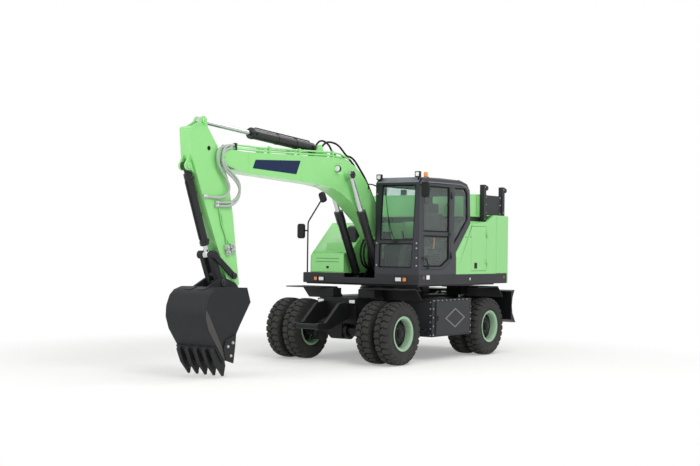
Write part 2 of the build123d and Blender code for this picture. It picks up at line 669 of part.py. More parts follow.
# body behind the cab: a hollow with a service door on each side
HOOD_FRONT = -2240
HOOD_IN = 330
HOOD_FACE = -690
TOOL_REAR = HOOD_FACE + 10
BAY_FRONT = -2262
BAY_REAR = -2812
BAY_LOW = 1560
BAY_TOP = 2380
BAY_DEPTH = 300
DOOR_T = 40
RAISE_T = 40           # the raised edge that runs up to the counterweight
HOOD_STEP = -725       # front of the raised block behind the toolbox
STEP_IN = 450
STEP_WIDE = 450
bay_mid = ((BAY_FRONT + BAY_REAR) / 2, (BAY_LOW + BAY_TOP) / 2)
bay_hinges = (BAY_LOW + 180, BAY_TOP - 120)
with BuildPart() as hood:
    with BuildSketch(side(CAB_OUT)):
        outline([(UPPER_REAR, SKIRT_TOP), (UPPER_REAR, BODY_TOP), (HOOD_FRONT, BODY_TOP),
                 (HOOD_FRONT, 2425), (-1735, 1890), (-1735, SKIRT_TOP)])
    extrude(amount=CAB_OUT - HOOD_IN)
    for y in (CAB_OUT, -CAB_OUT + RAISE_T):
        with BuildSketch(side(y)):
            outline([(-2820, BODY_TOP), (-3080, WEIGHT_TOP), (UPPER_REAR, WEIGHT_TOP), (UPPER_REAR, BODY_TOP)])
        extrude(amount=RAISE_T)
    with BuildSketch(side(-STEP_IN)):
        outline([(HOOD_STEP, TOOL_TOP - 30), (HOOD_STEP, 2040), (-1000, 2060), (-1000, TOOL_TOP - 30)])
    extrude(amount=STEP_WIDE)
    with BuildSketch(side(-HOOD_IN)):
        outline([(UPPER_REAR, SKIRT_TOP), (UPPER_REAR, BODY_TOP), (-1275, 2420), (HOOD_FACE, 1880),
                 (HOOD_FACE, SKIRT_TOP)])
    extrude(amount=CAB_OUT - HOOD_IN)
    with BuildSketch(side(HOOD_IN)):
        outline([(UPPER_REAR, SKIRT_TOP), (UPPER_REAR, BODY_TOP), (-2420, BODY_TOP), (-2420, SKIRT_TOP)])
    extrude(amount=2 * HOOD_IN)
    for turn in (1, -1):
        with Locations((bay_mid[0], turn * (CAB_OUT - BAY_DEPTH / 2), bay_mid[1])):
            Box(BAY_FRONT - BAY_REAR, BAY_DEPTH, BAY_TOP - BAY_LOW, mode=Mode.SUBTRACT)
        hinge_seat(BAY_REAR, CAB_OUT, turn, bay_hinges)
hood.part.label = "body_hood"
export_step(hood.part, "parts/body_hood.step")
for name, turn in (("left", 1), ("right", -1)):
    with BuildPart() as panel:
        with Locations((bay_mid[0], turn * (CAB_OUT - DOOR_T / 2), bay_mid[1])):
            Box(BAY_FRONT - BAY_REAR - 2 * GAP, DOOR_T, BAY_TOP - BAY_LOW - 2 * GAP)
        hinge(BAY_REAR, CAB_OUT, turn, bay_hinges, 50)
    panel.part.label = f"service_door_{name}"
    export_step(panel.part, f"parts/service_door_{name}.step")

MODULE_HALF = 1080
MODULE_LOW = 2560
POST = 90              # side of the rack's square posts
with BuildPart() as module:
    with BuildSketch(side(MODULE_HALF)):
        outline([(-2430, MODULE_LOW), (-2430, 2975), (-3100, 2995), (-3100, MODULE_LOW)])
    extrude(amount=2 * MODULE_HALF)
module.part.label = "power_module"
export_step(module.part, "parts/power_module.step")
with BuildPart() as rack:
    with Locations((-2765, 0, (BODY_TOP + MODULE_LOW) / 2)):
        Box(670, 2 * MODULE_HALF - 40, MODULE_LOW - BODY_TOP)
    for turn in (1, -1):
        # columns: post's middle, its foot, its top
        for x, low, high in ((-2868, BODY_TOP, 3165), (-3580, WEIGHT_TOP, 3150)):
            with Locations((x, turn * (MODULE_HALF + RUN + POST / 2), (low + high) / 2)):
                Box(POST, POST, high - low)
        with Locations((-3224, turn * (MODULE_HALF + RUN + POST / 2), 2790)):
            Box(712 - POST, 30, 370)
        with Locations((-3224, turn * (MODULE_HALF + RUN + POST / 2), 2620)):
            Box(712 - POST, 50, 40)
rack.part.label = "module_rack"
export_step(rack.part, "parts/module_rack.step")

# toolbox in front of the right hood: the lid takes in its top and its front
tool_mid = -(TOOL_IN + TOOL_OUT) / 2
lid_half = (TOOL_OUT - TOOL_IN) / 2 + LID_LIP
lid_axis = (TOOL_REAR + 16, TOOL_TOP + CLEAR + LID_T + HINGE_R)
with BuildPart() as toolbox:
    with BuildSketch(side(-TOOL_IN)):
        outline([(TOOL_REAR, SKIRT_TOP), (TOOL_REAR, TOOL_TOP), (TOOL_FRONT, TOOL_TOP),
                 (TOOL_FRONT, SKIRT_TOP)])
    extrude(amount=TOOL_OUT - TOOL_IN)
    with BuildSketch(side(-TOOL_IN - TOOL_WALL)):
        outline([(TOOL_REAR + TOOL_WALL, SKIRT_TOP + TOOL_WALL), (TOOL_REAR + TOOL_WALL, TOOL_TOP),
                 (TOOL_FRONT, TOOL_TOP), (TOOL_FRONT, SKIRT_TOP + TOOL_WALL)])
    extrude(amount=TOOL_OUT - TOOL_IN - 2 * TOOL_WALL, mode=Mode.SUBTRACT)
    # posts at the ends of the lid's hinge
    for place in (-130, 130):
        with BuildSketch(side(tool_mid + place + 20)):
            outline([(TOOL_REAR, TOOL_TOP - 30), (TOOL_REAR, lid_axis[1] + HINGE_R),
                     (lid_axis[0] + HINGE_R, lid_axis[1] + HINGE_R), (lid_axis[0] + HINGE_R, TOOL_TOP - 30)])
        extrude(amount=40)
toolbox.part.label = "toolbox"
export_step(toolbox.part, "parts/toolbox.step")
with BuildPart() as lid:
    with BuildSketch(side(tool_mid + lid_half)):
        outline([(lid_axis[0] + 20, TOOL_TOP + CLEAR), (TOOL_FRONT + CLEAR, TOOL_TOP + CLEAR),
                 (TOOL_FRONT + CLEAR, SKIRT_TOP + LID_T), (TOOL_FRONT + CLEAR + LID_T, SKIRT_TOP + LID_T),
                 (TOOL_FRONT + CLEAR + LID_T, TOOL_TOP), (TOOL_FRONT, TOOL_TOP + CLEAR + LID_T),
                 (lid_axis[0] + 20, TOOL_TOP + CLEAR + LID_T)])
    extrude(amount=2 * lid_half)
    with BuildSketch(side(tool_mid + 110 - RUN)):
        disc(lid_axis, HINGE_R)
    extrude(amount=220 - 2 * RUN)
    with BuildSketch(side(tool_mid + 100)):
        outline([(lid_axis[0], lid_axis[1] - HINGE_R), (lid_axis[0] + 24, lid_axis[1] - HINGE_R - LEAF),
                 (lid_axis[0] + 24, lid_axis[1] - HINGE_R + LEAF), (lid_axis[0], lid_axis[1])])
    extrude(amount=200)
lid.part.label = "toolbox_lid"
export_step(lid.part, "parts/toolbox_lid.step")

# ---------------------------------------------------------------- boom
boom_top = [(3240, 3420), (2725, 3400), (1445, 3440), (400, 3478), (146, 3450), (-88, 3372), (-267, 3270),
            (-450, 3112), (-700, 2810), (-1290, 1880)]
boom_low = [(-1110, 1720), (-786, 2095), (-523, 2390), (-200, 2605), (20, 2755), (300, 2885), (580, 2970),
            (943, 3002), (1437, 3025), (2719, 3076), (3160, 3170)]
SLOT_R = 340
with BuildPart() as boom:
    with BuildSketch(side(BOOM_HALF)):
        outline(boom_top + boom_low)
        disc(BOOM_FOOT, 120)
        disc(BOOM_TIP, 130)
    extrude(amount=2 * BOOM_HALF)
    with BuildSketch(side(BOOM_HALF + 10)):
        boss(BOOM_FOOT, 110, 16)
    extrude(amount=2 * BOOM_HALF + 20)
    with BuildSketch(side(LIFT_Y - 45 - RUN)):
        boss(LIFT_PIN, 75)
    extrude(amount=2 * (LIFT_Y - 45 - RUN))
    with BuildSketch(side(ARM_HALF + 10)):
        disc(BOOM_TIP, SLOT_R)
    extrude(amount=2 * (ARM_HALF + 10), mode=Mode.SUBTRACT)
    for y in (EYE_HALF + RUN + EAR_PLATE, -EYE_HALF - RUN):
        with BuildSketch(side(y)):
            outline([(620, 3440), (700, 3620), (830, 3620), (950, 3440)])
            boss(CROWD_BASE, 70)
        extrude(amount=EAR_PLATE)
boom.part.label = "boom"
export_step(boom.part, "parts/boom.step")

lift_length = span(LIFT_BASE, LIFT_PIN)
with BuildPart() as lift_barrels:
    for y in (LIFT_Y, -LIFT_Y):
        with BuildSketch(side(y + 30)):
            disc(LIFT_BASE, 62)
        extrude(amount=60)
        with BuildSketch(line_plane(LIFT_BASE, LIFT_PIN, y)):
            facets(30, 12)
        extrude(amount=130)
        with BuildSketch(line_plane(along(LIFT_BASE, LIFT_PIN, 115 / lift_length), LIFT_PIN, y)):
            facets(LIFT_R)
        extrude(amount=LIFT_BARREL - 115)
        head = (LIFT_BARREL - HEAD_LENGTH) / lift_length
        with BuildSketch(line_plane(along(LIFT_BASE, LIFT_PIN, head), LIFT_PIN, y)):
            facets(LIFT_R + HEAD_STEP)
        extrude(amount=HEAD_LENGTH)
        with BuildSketch(line_plane(along(LIFT_BASE, LIFT_PIN, 160 / lift_length), LIFT_PIN, y)):
            facets(LIFT_ROD_R + RUN, 12)
        extrude(amount=LIFT_BARREL - 160, mode=Mode.SUBTRACT)
lift_barrels.part.label = "boom_cylinder_barrels"
export_step(lift_barrels.part, "parts/boom_cylinder_barrels.step")
with BuildPart() as lift_rods:
    for y in (LIFT_Y, -LIFT_Y):
        with BuildSketch(side(y + 45)):
            boss(LIFT_PIN, 65)
        extrude(amount=90)
        with BuildSketch(line_plane(LIFT_PIN, LIFT_BASE, y)):
            facets(LIFT_ROD_R, 12)
        extrude(amount=lift_length - 160 - LIFT_STROKE_IN)
lift_rods.part.label = "boom_cylinder_rods"
export_step(lift_rods.part, "parts/boom_cylinder_rods.step")

crowd_length = span(CROWD_BASE, CROWD_PIN)
with BuildPart() as crowd_barrel:
    with BuildSketch(side(EYE_HALF)):
        disc(CROWD_BASE, 62)
    extrude(amount=2 * EYE_HALF)
    with BuildSketch(line_plane(CROWD_BASE, CROWD_PIN, 0)):
        facets(45, 12)
    extrude(amount=160)
    with BuildSketch(line_plane(along(CROWD_BASE, CROWD_PIN, 140 / crowd_length), CROWD_PIN, 0)):
        facets(CROWD_R)
    extrude(amount=CROWD_BARREL - 140)
    with BuildSketch(line_plane(along(CROWD_BASE, CROWD_PIN, 190 / crowd_length), CROWD_PIN, 0)):
        facets(CROWD_ROD_R + RUN, 12)
    extrude(amount=CROWD_BARREL - 190, mode=Mode.SUBTRACT)
crowd_barrel.part.label = "arm_cylinder_barrel"
export_step(crowd_barrel.part, "parts/arm_cylinder_barrel.step")
with BuildPart() as crowd_rod:
    with BuildSketch(side(EYE_HALF)):
        boss(CROWD_PIN, 60)
    extrude(amount=2 * EYE_HALF)
    with BuildSketch(line_plane(CROWD_PIN, CROWD_BASE, 0)):
        facets(CROWD_ROD_R, 12)
    extrude(amount=crowd_length - 190 - CROWD_STROKE_IN)
crowd_rod.part.label = "arm_cylinder_rod"
export_step(crowd_rod.part, "parts/arm_cylinder_rod.step")

# ---------------------------------------------------------------- arm
arm_front = [(3540, 3690), (3600, 3700), (3880, 3700), (3920, 3670), (3880, 3240), (3525, 2406), (3340, 1994), (3205, 1711)]
arm_rear = [(2815, 1375), (2870, 1711), (2975, 2424), (3100, 2978), (3350, 3457)]
with BuildPart() as arm:
    with BuildSketch(side(ARM_HALF)):
        outline(arm_front + [(2990, 1190)] + arm_rear)
        disc(ARM_TIP, 95)
    extrude(amount=2 * ARM_HALF)
    with BuildSketch(side(ARM_HALF + 10 - RUN)):
        boss(BOOM_TIP, 115, 16)
        boss(ARM_TIP, 90, 16)
    extrude(amount=2 * (ARM_HALF + 10 - RUN))
    for y in (EYE_HALF + RUN + EAR_PLATE, -EYE_HALF - RUN):
        with BuildSketch(side(y)):
            outline([(3500, 3660), (3530, 3800), (3670, 3800), (3860, 3690)])
            boss(CROWD_PIN, 70)
        extrude(amount=EAR_PLATE)
        with BuildSketch(side(y)):
            outline([(3700, 3280), (3900, 3280), (3960, 3150), (3860, 3060), (3700, 2960)])
            boss(TILT_BASE, 70)
        extrude(amount=EAR_PLATE)
    with BuildSketch(side(EYE_HALF + RUN)):
        boss(TILT_BASE, 105)
    extrude(amount=2 * (EYE_HALF + RUN), mode=Mode.SUBTRACT)
    with BuildSketch(side(ARM_HALF + 10)):
        boss(ROCKER_PIN, 60)
    extrude(amount=2 * (ARM_HALF + 10))
arm.part.label = "arm"
export_step(arm.part, "parts/arm.step")

tilt_length = span(TILT_BASE, TILT_PIN)
with BuildPart() as tilt_barrel:
    with BuildSketch(side(EYE_HALF)):
        disc(TILT_BASE, 58)
    extrude(amount=2 * EYE_HALF)
    with BuildSketch(line_plane(TILT_BASE, TILT_PIN, 0)):
        facets(40, 12)
    extrude(amount=130)
    with BuildSketch(line_plane(along(TILT_BASE, TILT_PIN, 120 / tilt_length), TILT_PIN, 0)):
        facets(TILT_R)
    extrude(amount=TILT_BARREL - 120)
    with BuildSketch(line_plane(along(TILT_BASE, TILT_PIN, 150 / tilt_length), TILT_PIN, 0)):
        facets(TILT_ROD_R + RUN, 12)
    extrude(amount=TILT_BARREL - 150, mode=Mode.SUBTRACT)
tilt_barrel.part.label = "bucket_cylinder_barrel"
export_step(tilt_barrel.part, "parts/bucket_cylinder_barrel.step")
with BuildPart() as tilt_rod:
    with BuildSketch(side(EYE_HALF)):
        boss(TILT_PIN, 55)
    extrude(amount=2 * EYE_HALF)
    with BuildSketch(line_plane(TILT_PIN, TILT_BASE, 0)):
        facets(TILT_ROD_R, 12)
    extrude(amount=tilt_length - 150 - TILT_STROKE_IN)
tilt_rod.part.label = "bucket_cylinder_rod"
export_step(tilt_rod.part, "parts/bucket_cylinder_rod.step")

ROCKER_IN = ARM_HALF + 10 + RUN
ROCKER_T = 28
LINK_GAP = EYE_HALF + RUN
with BuildPart() as rockers:
    for y in (ROCKER_IN + ROCKER_T, -ROCKER_IN):
        with BuildSketch(side(y)):
            lug(ROCKER_PIN, TILT_PIN, 48)
        extrude(amount=ROCKER_T)
rockers.part.label = "bucket_rockers"
export_step(rockers.part, "parts/bucket_rockers.step")

with BuildPart() as link:
    for y in (ROCKER_IN - RUN, -LINK_GAP):
        with BuildSketch(side(y)):
            lug(TILT_PIN, HOOK_PIN, 50)
        extrude(amount=ROCKER_IN - RUN - LINK_GAP)
    with BuildSketch(side(100)):
        boss(HOOK_PIN, 50)
        boss(along(HOOK_PIN, TILT_PIN, 0.3), 42, 8)
    extrude(amount=200)
link.part.label = "bucket_link"
export_step(link.part, "parts/bucket_link.step")

# ---------------------------------------------------------------- bucket
EAR_IN = ARM_HALF + 10 + RUN
EAR_T = 40
bucket_side = [(2950, 1330), (3540, 1345), (3700, 1297), (3790, 1215), (3855, 1060), (3862, 900), (3795, 715),
               (3620, 480), (3455, 262), (3400, 262), (3245, 550), (3100, 780), (2870, 1110)]
bucket_void = [(2700, 1400), (3110, 1400), (3110, 1310), (3535, 1325), (3688, 1279), (3774, 1203), (3835, 1055),
               (3841, 905), (3777, 728), (3604, 492), (3430, 280), (3150, 200), (2600, 1000)]
with BuildPart() as bucket:
    with BuildSketch(side(BUCKET_HALF)):
        outline(bucket_side)
    extrude(amount=2 * BUCKET_HALF)
    with BuildSketch(side(BUCKET_HALF - BUCKET_T)):
        outline(bucket_void)
    extrude(amount=2 * (BUCKET_HALF - BUCKET_T), mode=Mode.SUBTRACT)
    for y in (EAR_IN + EAR_T, -EAR_IN):
        with BuildSketch(side(y)):
            outline([(2830, 1270), (2960, 1400), (3180, 1470), (3290, 1470), (3560, 1340), (3560, 1320),
                     (3110, 1312), (2980, 1160)])
            boss(ARM_TIP, 90, 16)
            boss(HOOK_PIN, 70)
        extrude(amount=EAR_T)
    for y in (-340, -170, 0, 170, 340):
        with BuildSketch(side(y + 35)):
            outline([(3610, 500), (3655, 405), (3570, 215), (3430, 30), (3390, 35), (3390, 190), (3430, 330),
                     (3540, 500)])
        extrude(amount=70)
    for y in (BUCKET_HALF + 25, -BUCKET_HALF):
        with BuildSketch(side(y)):
            outline([(3270, 215), (3420, 262), (3490, 440), (3440, 560), (3215, 640), (3235, 450)])
        extrude(amount=25)
bucket.part.label = "bucket"
export_step(bucket.part, "parts/bucket.step")

# ---------------------------------------------------------------- small outer pieces
MIRROR_R = 14
MIRROR_X = UPPER_FRONT - 22
POST_Y = UPPER_HALF - 85
with BuildPart() as mirrors:
    # right: a post from the skirt that leans in over the hood and carries two heads
    with BuildSketch(Plane.YZ.offset(MIRROR_X + MIRROR_R)):
        outline([(-POST_Y - MIRROR_R, SKIRT_TOP), (-POST_Y - MIRROR_R, 2420), (-790 - MIRROR_R, 2905),
                 (-790 + MIRROR_R, 2890), (-POST_Y + MIRROR_R, 2410), (-POST_Y + MIRROR_R, SKIRT_TOP)])
    extrude(amount=-2 * MIRROR_R)
    # columns: lateral place, height, width, height of the head
    for y, z, wide, tall in ((-POST_Y - 95, 2250, 200, 260), (-800, 2860, 180, 200)):
        with Locations((MIRROR_X + MIRROR_R + 30, y, z)):
            Box(60, wide, tall)
    # left: an arm from the cab's upper corner
    with BuildSketch(Plane.XZ.offset(-CAB_OUT)):
        with Locations((MIRROR_X - 25, 3040)):
            facets(MIRROR_R, 8)
    extrude(amount=-60)
    with Locations((MIRROR_X - 25, CAB_OUT + 105, 2962)):
        Box(60, 150, 270)
mirrors.part.label = "mirrors"
export_step(mirrors.part, "parts/mirrors.step")
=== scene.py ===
import json
from math import cos, exp, pi, radians, sin

import bmesh
import bpy
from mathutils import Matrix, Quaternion, Vector

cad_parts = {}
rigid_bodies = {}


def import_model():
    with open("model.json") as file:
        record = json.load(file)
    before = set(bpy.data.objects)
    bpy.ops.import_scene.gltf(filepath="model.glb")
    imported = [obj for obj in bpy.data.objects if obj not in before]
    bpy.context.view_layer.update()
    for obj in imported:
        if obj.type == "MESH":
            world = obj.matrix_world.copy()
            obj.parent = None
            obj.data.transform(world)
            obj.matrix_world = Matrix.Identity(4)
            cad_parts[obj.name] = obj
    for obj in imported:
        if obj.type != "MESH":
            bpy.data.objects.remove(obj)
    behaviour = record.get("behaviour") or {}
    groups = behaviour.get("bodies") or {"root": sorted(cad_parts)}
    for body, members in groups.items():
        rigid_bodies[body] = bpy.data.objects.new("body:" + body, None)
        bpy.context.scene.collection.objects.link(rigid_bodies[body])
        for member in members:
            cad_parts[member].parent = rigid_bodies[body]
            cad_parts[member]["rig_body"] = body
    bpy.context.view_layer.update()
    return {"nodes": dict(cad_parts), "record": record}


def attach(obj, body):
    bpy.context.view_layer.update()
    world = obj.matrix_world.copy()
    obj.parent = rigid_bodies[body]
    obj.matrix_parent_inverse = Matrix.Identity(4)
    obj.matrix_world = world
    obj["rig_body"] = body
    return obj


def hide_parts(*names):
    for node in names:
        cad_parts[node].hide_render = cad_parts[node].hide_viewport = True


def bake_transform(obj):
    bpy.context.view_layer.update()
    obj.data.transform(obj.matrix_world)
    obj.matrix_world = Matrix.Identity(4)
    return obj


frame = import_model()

scene = bpy.context.scene


# ---------- colour and node helpers
def colour(code):
    """Linear colour of an sRGB hex value."""
    parts = [int(code[i:i + 2], 16) / 255 for i in (1, 3, 5)]
    linear = [p / 12.92 if p <= 0.04045 else ((p + 0.055) / 1.055) ** 2.4 for p in parts]
    return (*linear, 1)


def add(tree, kind, inputs=None, **settings):
    """One node with its settings, and its inputs set to values or linked to sockets."""
    node = tree.nodes.new(kind)
    for key, value in settings.items():
        setattr(node, key, value)
    for key, value in (inputs or {}).items():
        if isinstance(value, bpy.types.NodeSocket):
            tree.links.new(value, node.inputs[key])
        else:
            node.inputs[key].default_value = value
    return node


SLOTS = {}
COAT_ROUGHNESS = 0.08
MOTTLE_SCALE, DUST_SCALE = 2.3, 9.0


def new_material(name, slot, values):
    """A material, its node tree and its principled shader with values; slot is its usual one."""
    material = bpy.data.materials.new(name)
    SLOTS[material.name] = slot
    material.use_nodes = True
    tree = material.node_tree
    tree.nodes.clear()
    shader = add(tree, "ShaderNodeBsdfPrincipled", values)
    add(tree, "ShaderNodeOutputMaterial", {"Surface": shader.outputs[0]})
    return material, tree, shader


def surface(name, base, roughness, grain, depth, slot="chassis_black", dirt="#6E675C", dirt_share=0.0, coat=0.0,
        metallic=0.0, mottle=0.06, low=0.0, high=1.2, shine=0.5):
    """A rigid finish: base colour with slow mottle, dust that gathers low down, and a fine bump.

    grain is the size of the surface texture in metres and depth its height in metres.
    The dust thins out between the heights low and high.
    """
    material, tree, shader = new_material(name, slot, {"Metallic": metallic, "Coat Weight": coat,
        "Coat Roughness": COAT_ROUGHNESS, "Specular IOR Level": shine})
    place = add(tree, "ShaderNodeTexCoord").outputs["Object"]
    slow = add(tree, "ShaderNodeTexNoise", {"Vector": place, "Scale": MOTTLE_SCALE,
        "Detail": 4.0}).outputs["Fac"]
    span = add(tree, "ShaderNodeMapRange", {"Value": slow, "From Min": 0.3, "From Max": 0.7,
        "To Min": 1 - mottle, "To Max": 1 + mottle})
    paint = add(tree, "ShaderNodeHueSaturation", {"Value": span.outputs[0], "Color": colour(base)}).outputs[0]
    if dirt_share:
        parts = add(tree, "ShaderNodeSeparateXYZ", {"Vector": place})
        height = add(tree, "ShaderNodeMapRange", {"Value": parts.outputs["Z"], "From Min": low,
            "From Max": high, "To Min": dirt_share, "To Max": 0.0})
        patches = add(tree, "ShaderNodeTexNoise", {"Vector": place, "Scale": DUST_SCALE, "Detail": 8.0,
            "Roughness": 0.65})
        spread = add(tree, "ShaderNodeMapRange", {"Value": patches.outputs["Fac"], "From Min": 0.35,
            "From Max": 0.7})
        share = add(tree, "ShaderNodeMath", {0: height.outputs[0], 1: spread.outputs[0]}, operation="MULTIPLY")
        paint = add(tree, "ShaderNodeMix", {"Factor": share.outputs[0], "A": paint, "B": colour(dirt)},
            data_type="RGBA").outputs["Result"]
    tree.links.new(paint, shader.inputs["Base Color"])
    fine = add(tree, "ShaderNodeTexNoise", {"Vector": place, "Scale": 1 / grain, "Detail": 2.0})
    bump = add(tree, "ShaderNodeBump", {"Height": fine.outputs["Fac"], "Distance": depth, "Strength": 0.6})
    tree.links.new(bump.outputs[0], shader.inputs["Normal"])
    rough = add(tree, "ShaderNodeMapRange", {"Value": slow, "From Min": 0.3, "From Max": 0.7,
        "To Min": roughness - 0.05, "To Max": roughness + 0.06})
    tree.links.new(rough.outputs[0], shader.inputs["Roughness"])
    return material


# ---------- finishes
# two-pack gloss enamel sprayed on steel: even colour, slight orange peel, clear highlights
GREEN = surface("enamel_light_green", "#8BD680", 0.34, 0.006, 0.00012, "body_green", coat=0.6, mottle=0.015,
    shine=0.4)
# the same enamel on the wheels, paler
RIM_GREEN = surface("enamel_pale_green", "#9DBF9F", 0.42, 0.005, 0.0002, "rim_green", mottle=0.04,
    dirt_share=0.3, high=1.1, shine=0.3)
# satin black chassis paint with road dust
BLACK = surface("chassis_paint_satin_black", "#121315", 0.42, 0.004, 0.0003, dirt="#3A3834", dirt_share=0.2,
    low=0.2, shine=0.22)
# dark grey textured powder coat on the platform's apron and the boxes
DARK = surface("powder_coat_dark_grey", "#2E2F32", 0.46, 0.003, 0.0003, dirt="#45423D", dirt_share=0.2, low=0.3,
    shine=0.22)
# satin blue-grey paint on the cab's steel frame
CAB_GREY = surface("cab_paint_slate", "#272A30", 0.36, 0.004, 0.0001, "cab_grey", coat=0.2, mottle=0.03,
    shine=0.3)
# the cab's roof cap, a moulded panel in light grey
ROOF_GREY = surface("moulded_roof_light_grey", "#6C7178", 0.32, 0.004, 0.0001, "cab_grey", coat=0.3,
    mottle=0.03)
# rubber of tyres: matt, dusty in the grooves
RUBBER = surface("tyre_rubber_dusty", "#323332", 0.62, 0.004, 0.0004, "tyre_rubber", dirt="#5F5D57",
    dirt_share=0.35, low=-0.2, high=1.3, mottle=0.08, shine=0.15)
# hydraulic hose and window seal rubber
HOSE = surface("hose_rubber_black", "#121314", 0.55, 0.003, 0.0003, shine=0.2)
SEAL = surface("window_seal_rubber", "#0B0C0D", 0.6, 0.002, 0.0001, shine=0.15)
# cast and rolled steel of the bucket, dark satin paint
BUCKET = surface("bucket_paint_graphite", "#28292B", 0.5, 0.008, 0.0008, "bucket_grey", dirt="#413F3A",
    dirt_share=0.2, mottle=0.08, shine=0.15)
# black paint on the cylinder barrels
BARREL = surface("cylinder_paint_black", "#191A1D", 0.35, 0.004, 0.0002, coat=0.2, shine=0.3)
# hard chromed piston rods, ground and polished
CHROME = surface("hard_chrome_rod", "#C9CCCE", 0.14, 0.002, 0.00002, "rod_chrome", metallic=1.0, mottle=0.02)
# zinc plated fasteners
ZINC = surface("zinc_plated_steel", "#C2C4C4", 0.4, 0.002, 0.0001, "rod_chrome", metallic=0.6)
# moulded black plastic of lamp housings, mirrors and trim
PLASTIC = surface("moulded_plastic_black", "#141517", 0.45, 0.0015, 0.00015, shine=0.25)
# grey moulded plastic inside the cab
TRIM = surface("cab_trim_grey_plastic", "#303335", 0.6, 0.0015, 0.0002, "cab_trim")
# enamelled plate, plain deep blue
PLATE_BLUE = surface("plate_enamel_deep_blue", "#0B2146", 0.3, 0.004, 0.0001, shine=0.2)
# moulded reflectors with a smooth outer face, white at the sides and red at the ends
REFLECT_WHITE = surface("reflector_white", "#E8EAEA", 0.25, 0.003, 0.0003, "glass", coat=0.5)
REFLECT_RED = surface("reflector_red", "#8E1E22", 0.2, 0.003, 0.0003, "glass", coat=0.6)
# clear amber plastic over the turn lamps and the beacon
AMBER = surface("lamp_lens_amber", "#F28A3A", 0.2, 0.003, 0.0003, "glass", coat=0.6)
# safety orange plastic of the escape hammer
ORANGE = surface("handle_plastic_orange", "#D9722E", 0.45, 0.003, 0.0002, "cab_trim")
# the bucket's raised side strips, in a paler grey than the bucket: the paleness is a painted highlight along
# its side edges
STRIP_HIGHLIGHT = surface("worn_steel_strip", "#474542", 0.55, 0.006, 0.0008, "bucket_grey", mottle=0.12, shine=0.3)
# raised ridge on the side box doors, in a paler grey than the door: the paleness is a painted highlight on the
# ridge
RIDGE_HIGHLIGHT = surface("rubbed_paint_edge", "#6C6D6F", 0.45, 0.004, 0.0003, mottle=0.1)
# braided outer cover of the working arm's hoses, pale grey
BRAID = surface("hose_cover_pale_grey", "#A9B3AC", 0.5, 0.004, 0.0006, mottle=0.05)
# mirror glass: silvered, nearly perfect
MIRROR = surface("silvered_mirror_glass", "#DDE3E6", 0.06, 0.01, 0.00001, "glass", metallic=1.0, mottle=0.0)


def make_glass():
    """Tempered cab glass, faintly green; its IOR is low, because a thin pane hardly bends the view."""
    return new_material("tempered_glass_green_tint", "glass", {"Base Color": colour("#DCEAE6"),
        "Roughness": 0.02, "Transmission Weight": 0.95, "IOR": 1.2})[0]


def make_lens():
    """Clear moulded lamp lens with fine ribs over a bright reflector."""
    material, tree, shader = new_material("lamp_lens_ribbed", "glass", {"Base Color": colour("#F0F2F2"),
        "Roughness": 0.18, "Coat Weight": 0.8})
    place = add(tree, "ShaderNodeTexCoord").outputs["Object"]
    ribs = add(tree, "ShaderNodeTexWave", {"Vector": place, "Scale": 60.0})
    bump = add(tree, "ShaderNodeBump", {"Height": ribs.outputs["Fac"], "Distance": 0.001})
    tree.links.new(bump.outputs[0], shader.inputs["Normal"])
    return material


def make_cloth():
    """Woven seat cloth: a 2 mm weave drawn as crossed waves."""
    material, tree, shader = new_material("woven_seat_cloth_black", "seat_cloth",
        {"Base Color": colour("#2A2B2E"), "Roughness": 0.85, "Sheen Weight": 0.3})
    place = add(tree, "ShaderNodeTexCoord").outputs["Object"]
    warp, weft = [add(tree, "ShaderNodeTexWave", {"Vector": place, "Scale": 160.0}, bands_direction=way)
        for way in ("Y", "Z")]
    both = add(tree, "ShaderNodeMath", {0: warp.outputs["Fac"], 1: weft.outputs["Fac"]}, operation="MAXIMUM")
    bump = add(tree, "ShaderNodeBump", {"Height": both.outputs[0], "Distance": 0.0006})
    tree.links.new(bump.outputs[0], shader.inputs["Normal"])
    return material


GLASS = make_glass()
LENS = make_lens()
CLOTH = make_cloth()


# ---------- mesh helpers
SIDES = {"left": 1, "right": -1}


def finish_piece(obj, body, material, slot=None):
    """Gives a piece its one material and the body that it rides on; its slot, the given one or the material's
    usual one, is looked up but not set on the piece.
    """
    obj.data.materials.clear()
    obj.data.materials.append(material)
    slot = slot or SLOTS[material.name]
    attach(obj, body)
    return obj


def to_object(name, mesh):
    """Puts a mesh in the scene, with its place in its vertices."""
    obj = bpy.data.objects.new(name, mesh)
    scene.collection.objects.link(obj)
    return obj


def settled(name, bm):
    """Puts a bmesh in the scene as an object."""
    mesh = bpy.data.meshes.new(name)
    bm.to_mesh(mesh)
    bm.free()
    return to_object(name, mesh)


def from_bmesh(name, bm, smooth_angle=40):
    """Turns a bmesh into an object with smooth faces and sharp edges over an angle."""
    bmesh.ops.recalc_face_normals(bm, faces=bm.faces)
    for face in bm.faces:
        face.smooth = True
    for edge in bm.edges:
        if len(edge.link_faces) == 2 and edge.calc_face_angle(0) > radians(smooth_angle):
            edge.smooth = False
    return settled(name, bm)


def baked(obj):
    """The object as its modifiers leave it, as a plain mesh; the modifiers are gone."""
    graph = bpy.context.evaluated_depsgraph_get()
    mesh = bpy.data.meshes.new_from_object(obj.evaluated_get(graph))
    mesh.name = obj.name
    obj.modifiers.clear()
    obj.data = mesh
    return obj


def rounded(obj, width, segments=2, angle=32):
    """Rounds an object's edges by a real radius and keeps its flats flat."""
    bevel = obj.modifiers.new("edge", "BEVEL")
    bevel.width = width
    bevel.segments = segments
    bevel.limit_method = "ANGLE"
    bevel.angle_limit = radians(angle)
    bevel.harden_normals = True
    bevel.use_clamp_overlap = True
    return baked(obj)


def node_body(node):
    """The body that a CAD node rides on."""
    for body, nodes in frame["record"]["behaviour"]["bodies"].items():
        if node in nodes:
            return body
    return "root"


def node_slot(node):
    """The record's material slot of a CAD node."""
    return next(p["material_slot"] for p in frame["record"]["subparts"] if p["node"] == node)


TOOTH_PITCH = 0.17
